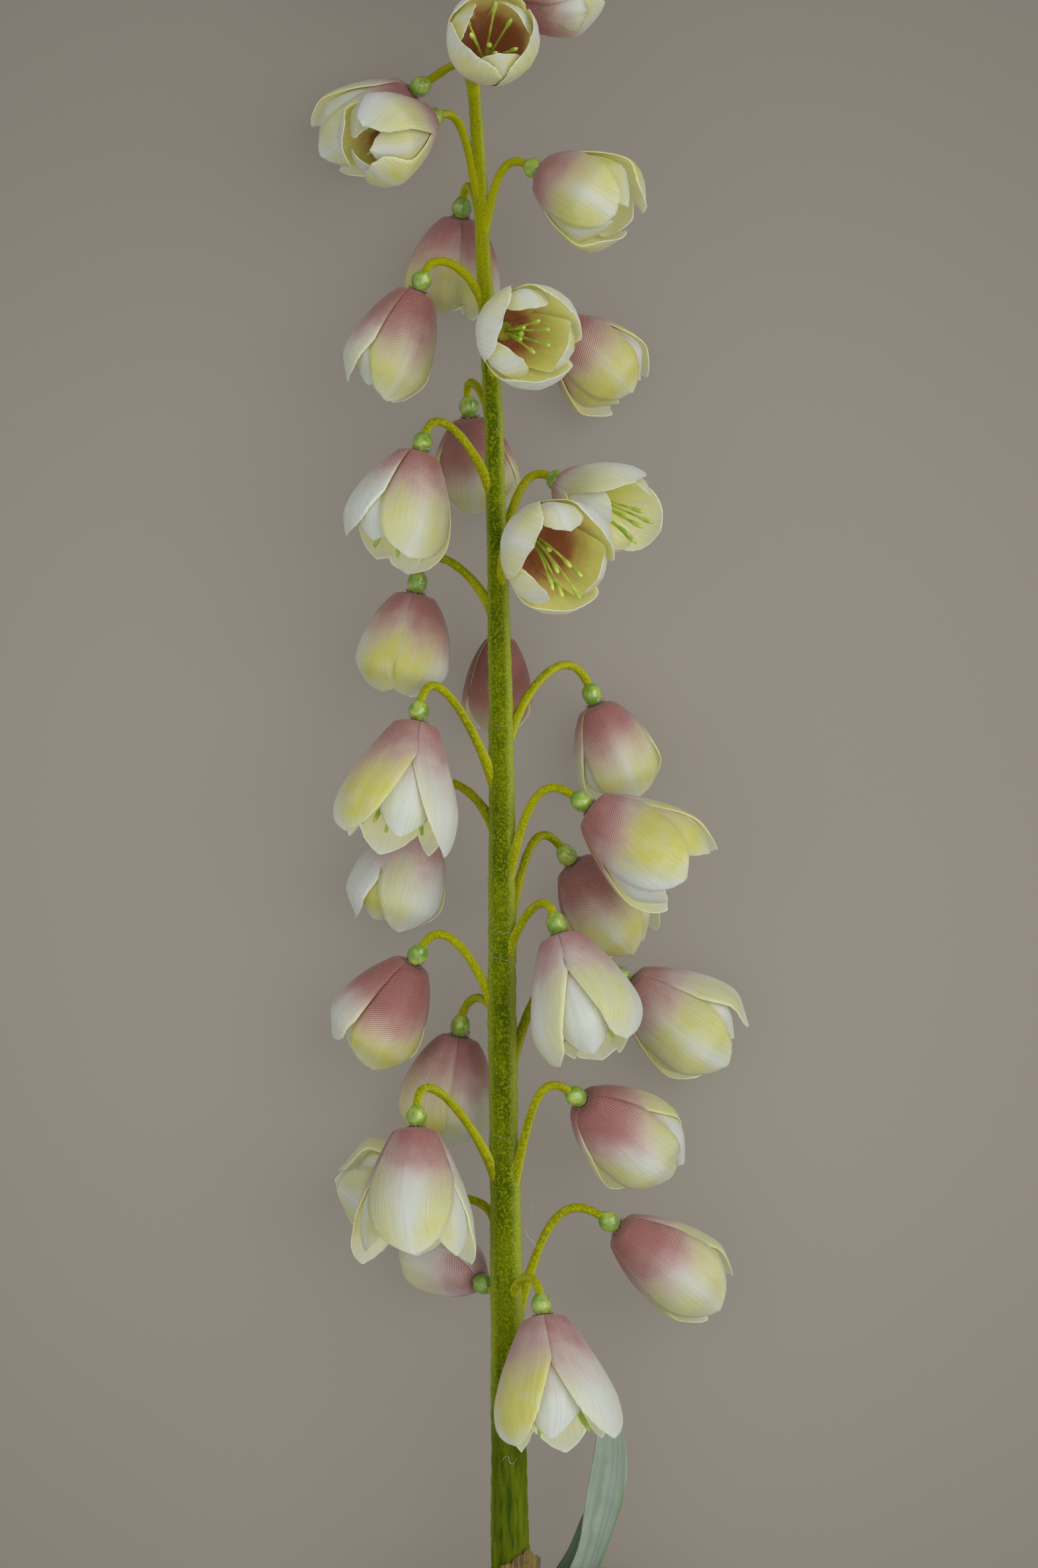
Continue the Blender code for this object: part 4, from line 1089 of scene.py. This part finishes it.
glue = clearGlue()
for name, part, material in (
        ("beads", forBells(bead), beadGlaze()), ("stamens", forBells(stamens), stamenGreen()),
        ("glueDrops", glueDrops(), glue), ("glueStrands", glueStrands(), glue),
        ("frayedThreads", forBells(threads), threadCloth())):
    makePiece(name, part, material, "stem", "stem")
print("stage: beads, stamens and threads")

budCloth = petalCloth("budCloth", budLook["ground"])
for number, part in enumerate(budParts, 1):
    makePiece(f"bud{number}", bare(part, "cloth", "place", "dye"), budCloth, "bud", f"bud_{number}")
makePiece("papersheath", sheath(), sheathPaper(), "sheath", "sheath")
satin = leafSatin()
for number, row in enumerate(leafLook["leaves"], 1):
    makePiece(f"leaf{number}Blade", leaf(row, number), satin, "leaf", f"leaf_{number}")
print("stage: buds, sheath and leaves")


stageLook = {
    "cameraHeight": 1.1,  # metres above the stem
    "frameTall": 0.33152,  # metres that the picture covers at the stem
    "floor": (99, 94, 87),
    "floorSize": 6.0,
    "cloud": 0.05,  # how much its tone wanders
    "edge": 0.56,  # painted shade: how bright it is away from the middle, and from where to where it fades
    "fade": (0.04, 0.34),
    "lift": 1.3,  # light of the floor's own, which keeps its shadows faint
    "world": 0.5,
    "worldColour": (1.0, 0.985, 0.965),
    "key": {"place": (0.95, 0.3, 1.35), "size": 1.5, "power": 16.0, "colour": (1.0, 0.98, 0.95)},
    "fill": {"place": (-0.5, -0.3, 1.6), "size": 1.8, "power": 7.5, "colour": (0.93, 0.97, 1.0)},
}


def addLight(name, place, size, power, colour):  # a soft square light that looks at the stem's middle
    data = bpy.data.lights.new(name, "AREA")
    data.size, data.energy, data.color = size, power, colour
    lamp = addObject(name, data)
    lamp.location = shift + np.array(place)
    back = unit(place)
    lamp.rotation_euler = (math.acos(back[2]), 0.0, math.atan2(back[1], back[0]) + math.pi / 2)
    lamp.visible_camera = False


def floorPaint():  # cloudy paint, with painted shade that darkens it away from the middle
    look = stageLook
    g = Graph("floorPaint")
    cloud = g.noise(g.object(), 5.0)
    away = g.add("VectorMath", {0: g.object()}, operation="LENGTH")["Value"]
    dark, light, edge = (tuple(share * part for part in linear(look["floor"]))
                         for share in (1 - look["cloud"], 1 + look["cloud"], look["edge"]))
    # painted shade: the floor darkens away from the middle
    paint = g.mix(g.spread(away, *look["fade"]), g.mix(cloud, dark, light), edge)
    return g.finish(Base_Color=paint, Roughness=0.9, Emission_Color=paint, Emission_Strength=look["lift"])


def setStage():  # floor, world, lights and the camera above
    look = stageLook
    size = look["floorSize"]
    mesh = bpy.data.meshes.new("floor")
    mesh.from_pydata([(-size, -size, 0), (size, -size, 0), (size, size, 0), (-size, size, 0)], [], [(0, 1, 2, 3)])
    mesh.materials.append(floorPaint())
    addObject("floor", mesh)
    world = bpy.data.worlds.new("softRoom")
    world.use_nodes = True
    background = world.node_tree.nodes["Background"]
    background.inputs["Color"].default_value = (*look["worldColour"], 1.0)
    background.inputs["Strength"].default_value = look["world"]
    bpy.context.scene.world = world
    for name in ("key", "fill"):
        addLight(f"{name}Light", **look[name])
    data = bpy.data.cameras.new("camera")
    data.sensor_width = 36.0
    data.lens = 36.0 * look["cameraHeight"] / look["frameTall"]
    data.clip_start, data.clip_end = 0.01, 20.0
    camera = addObject("camera", data)
    camera.location = shift + np.array([0.0, 0.0, look["cameraHeight"]])
    bpy.context.scene.camera = camera
    bpy.context.scene.view_settings.view_transform = "Standard"


setStage()
print("stage: floor, lights and camera")
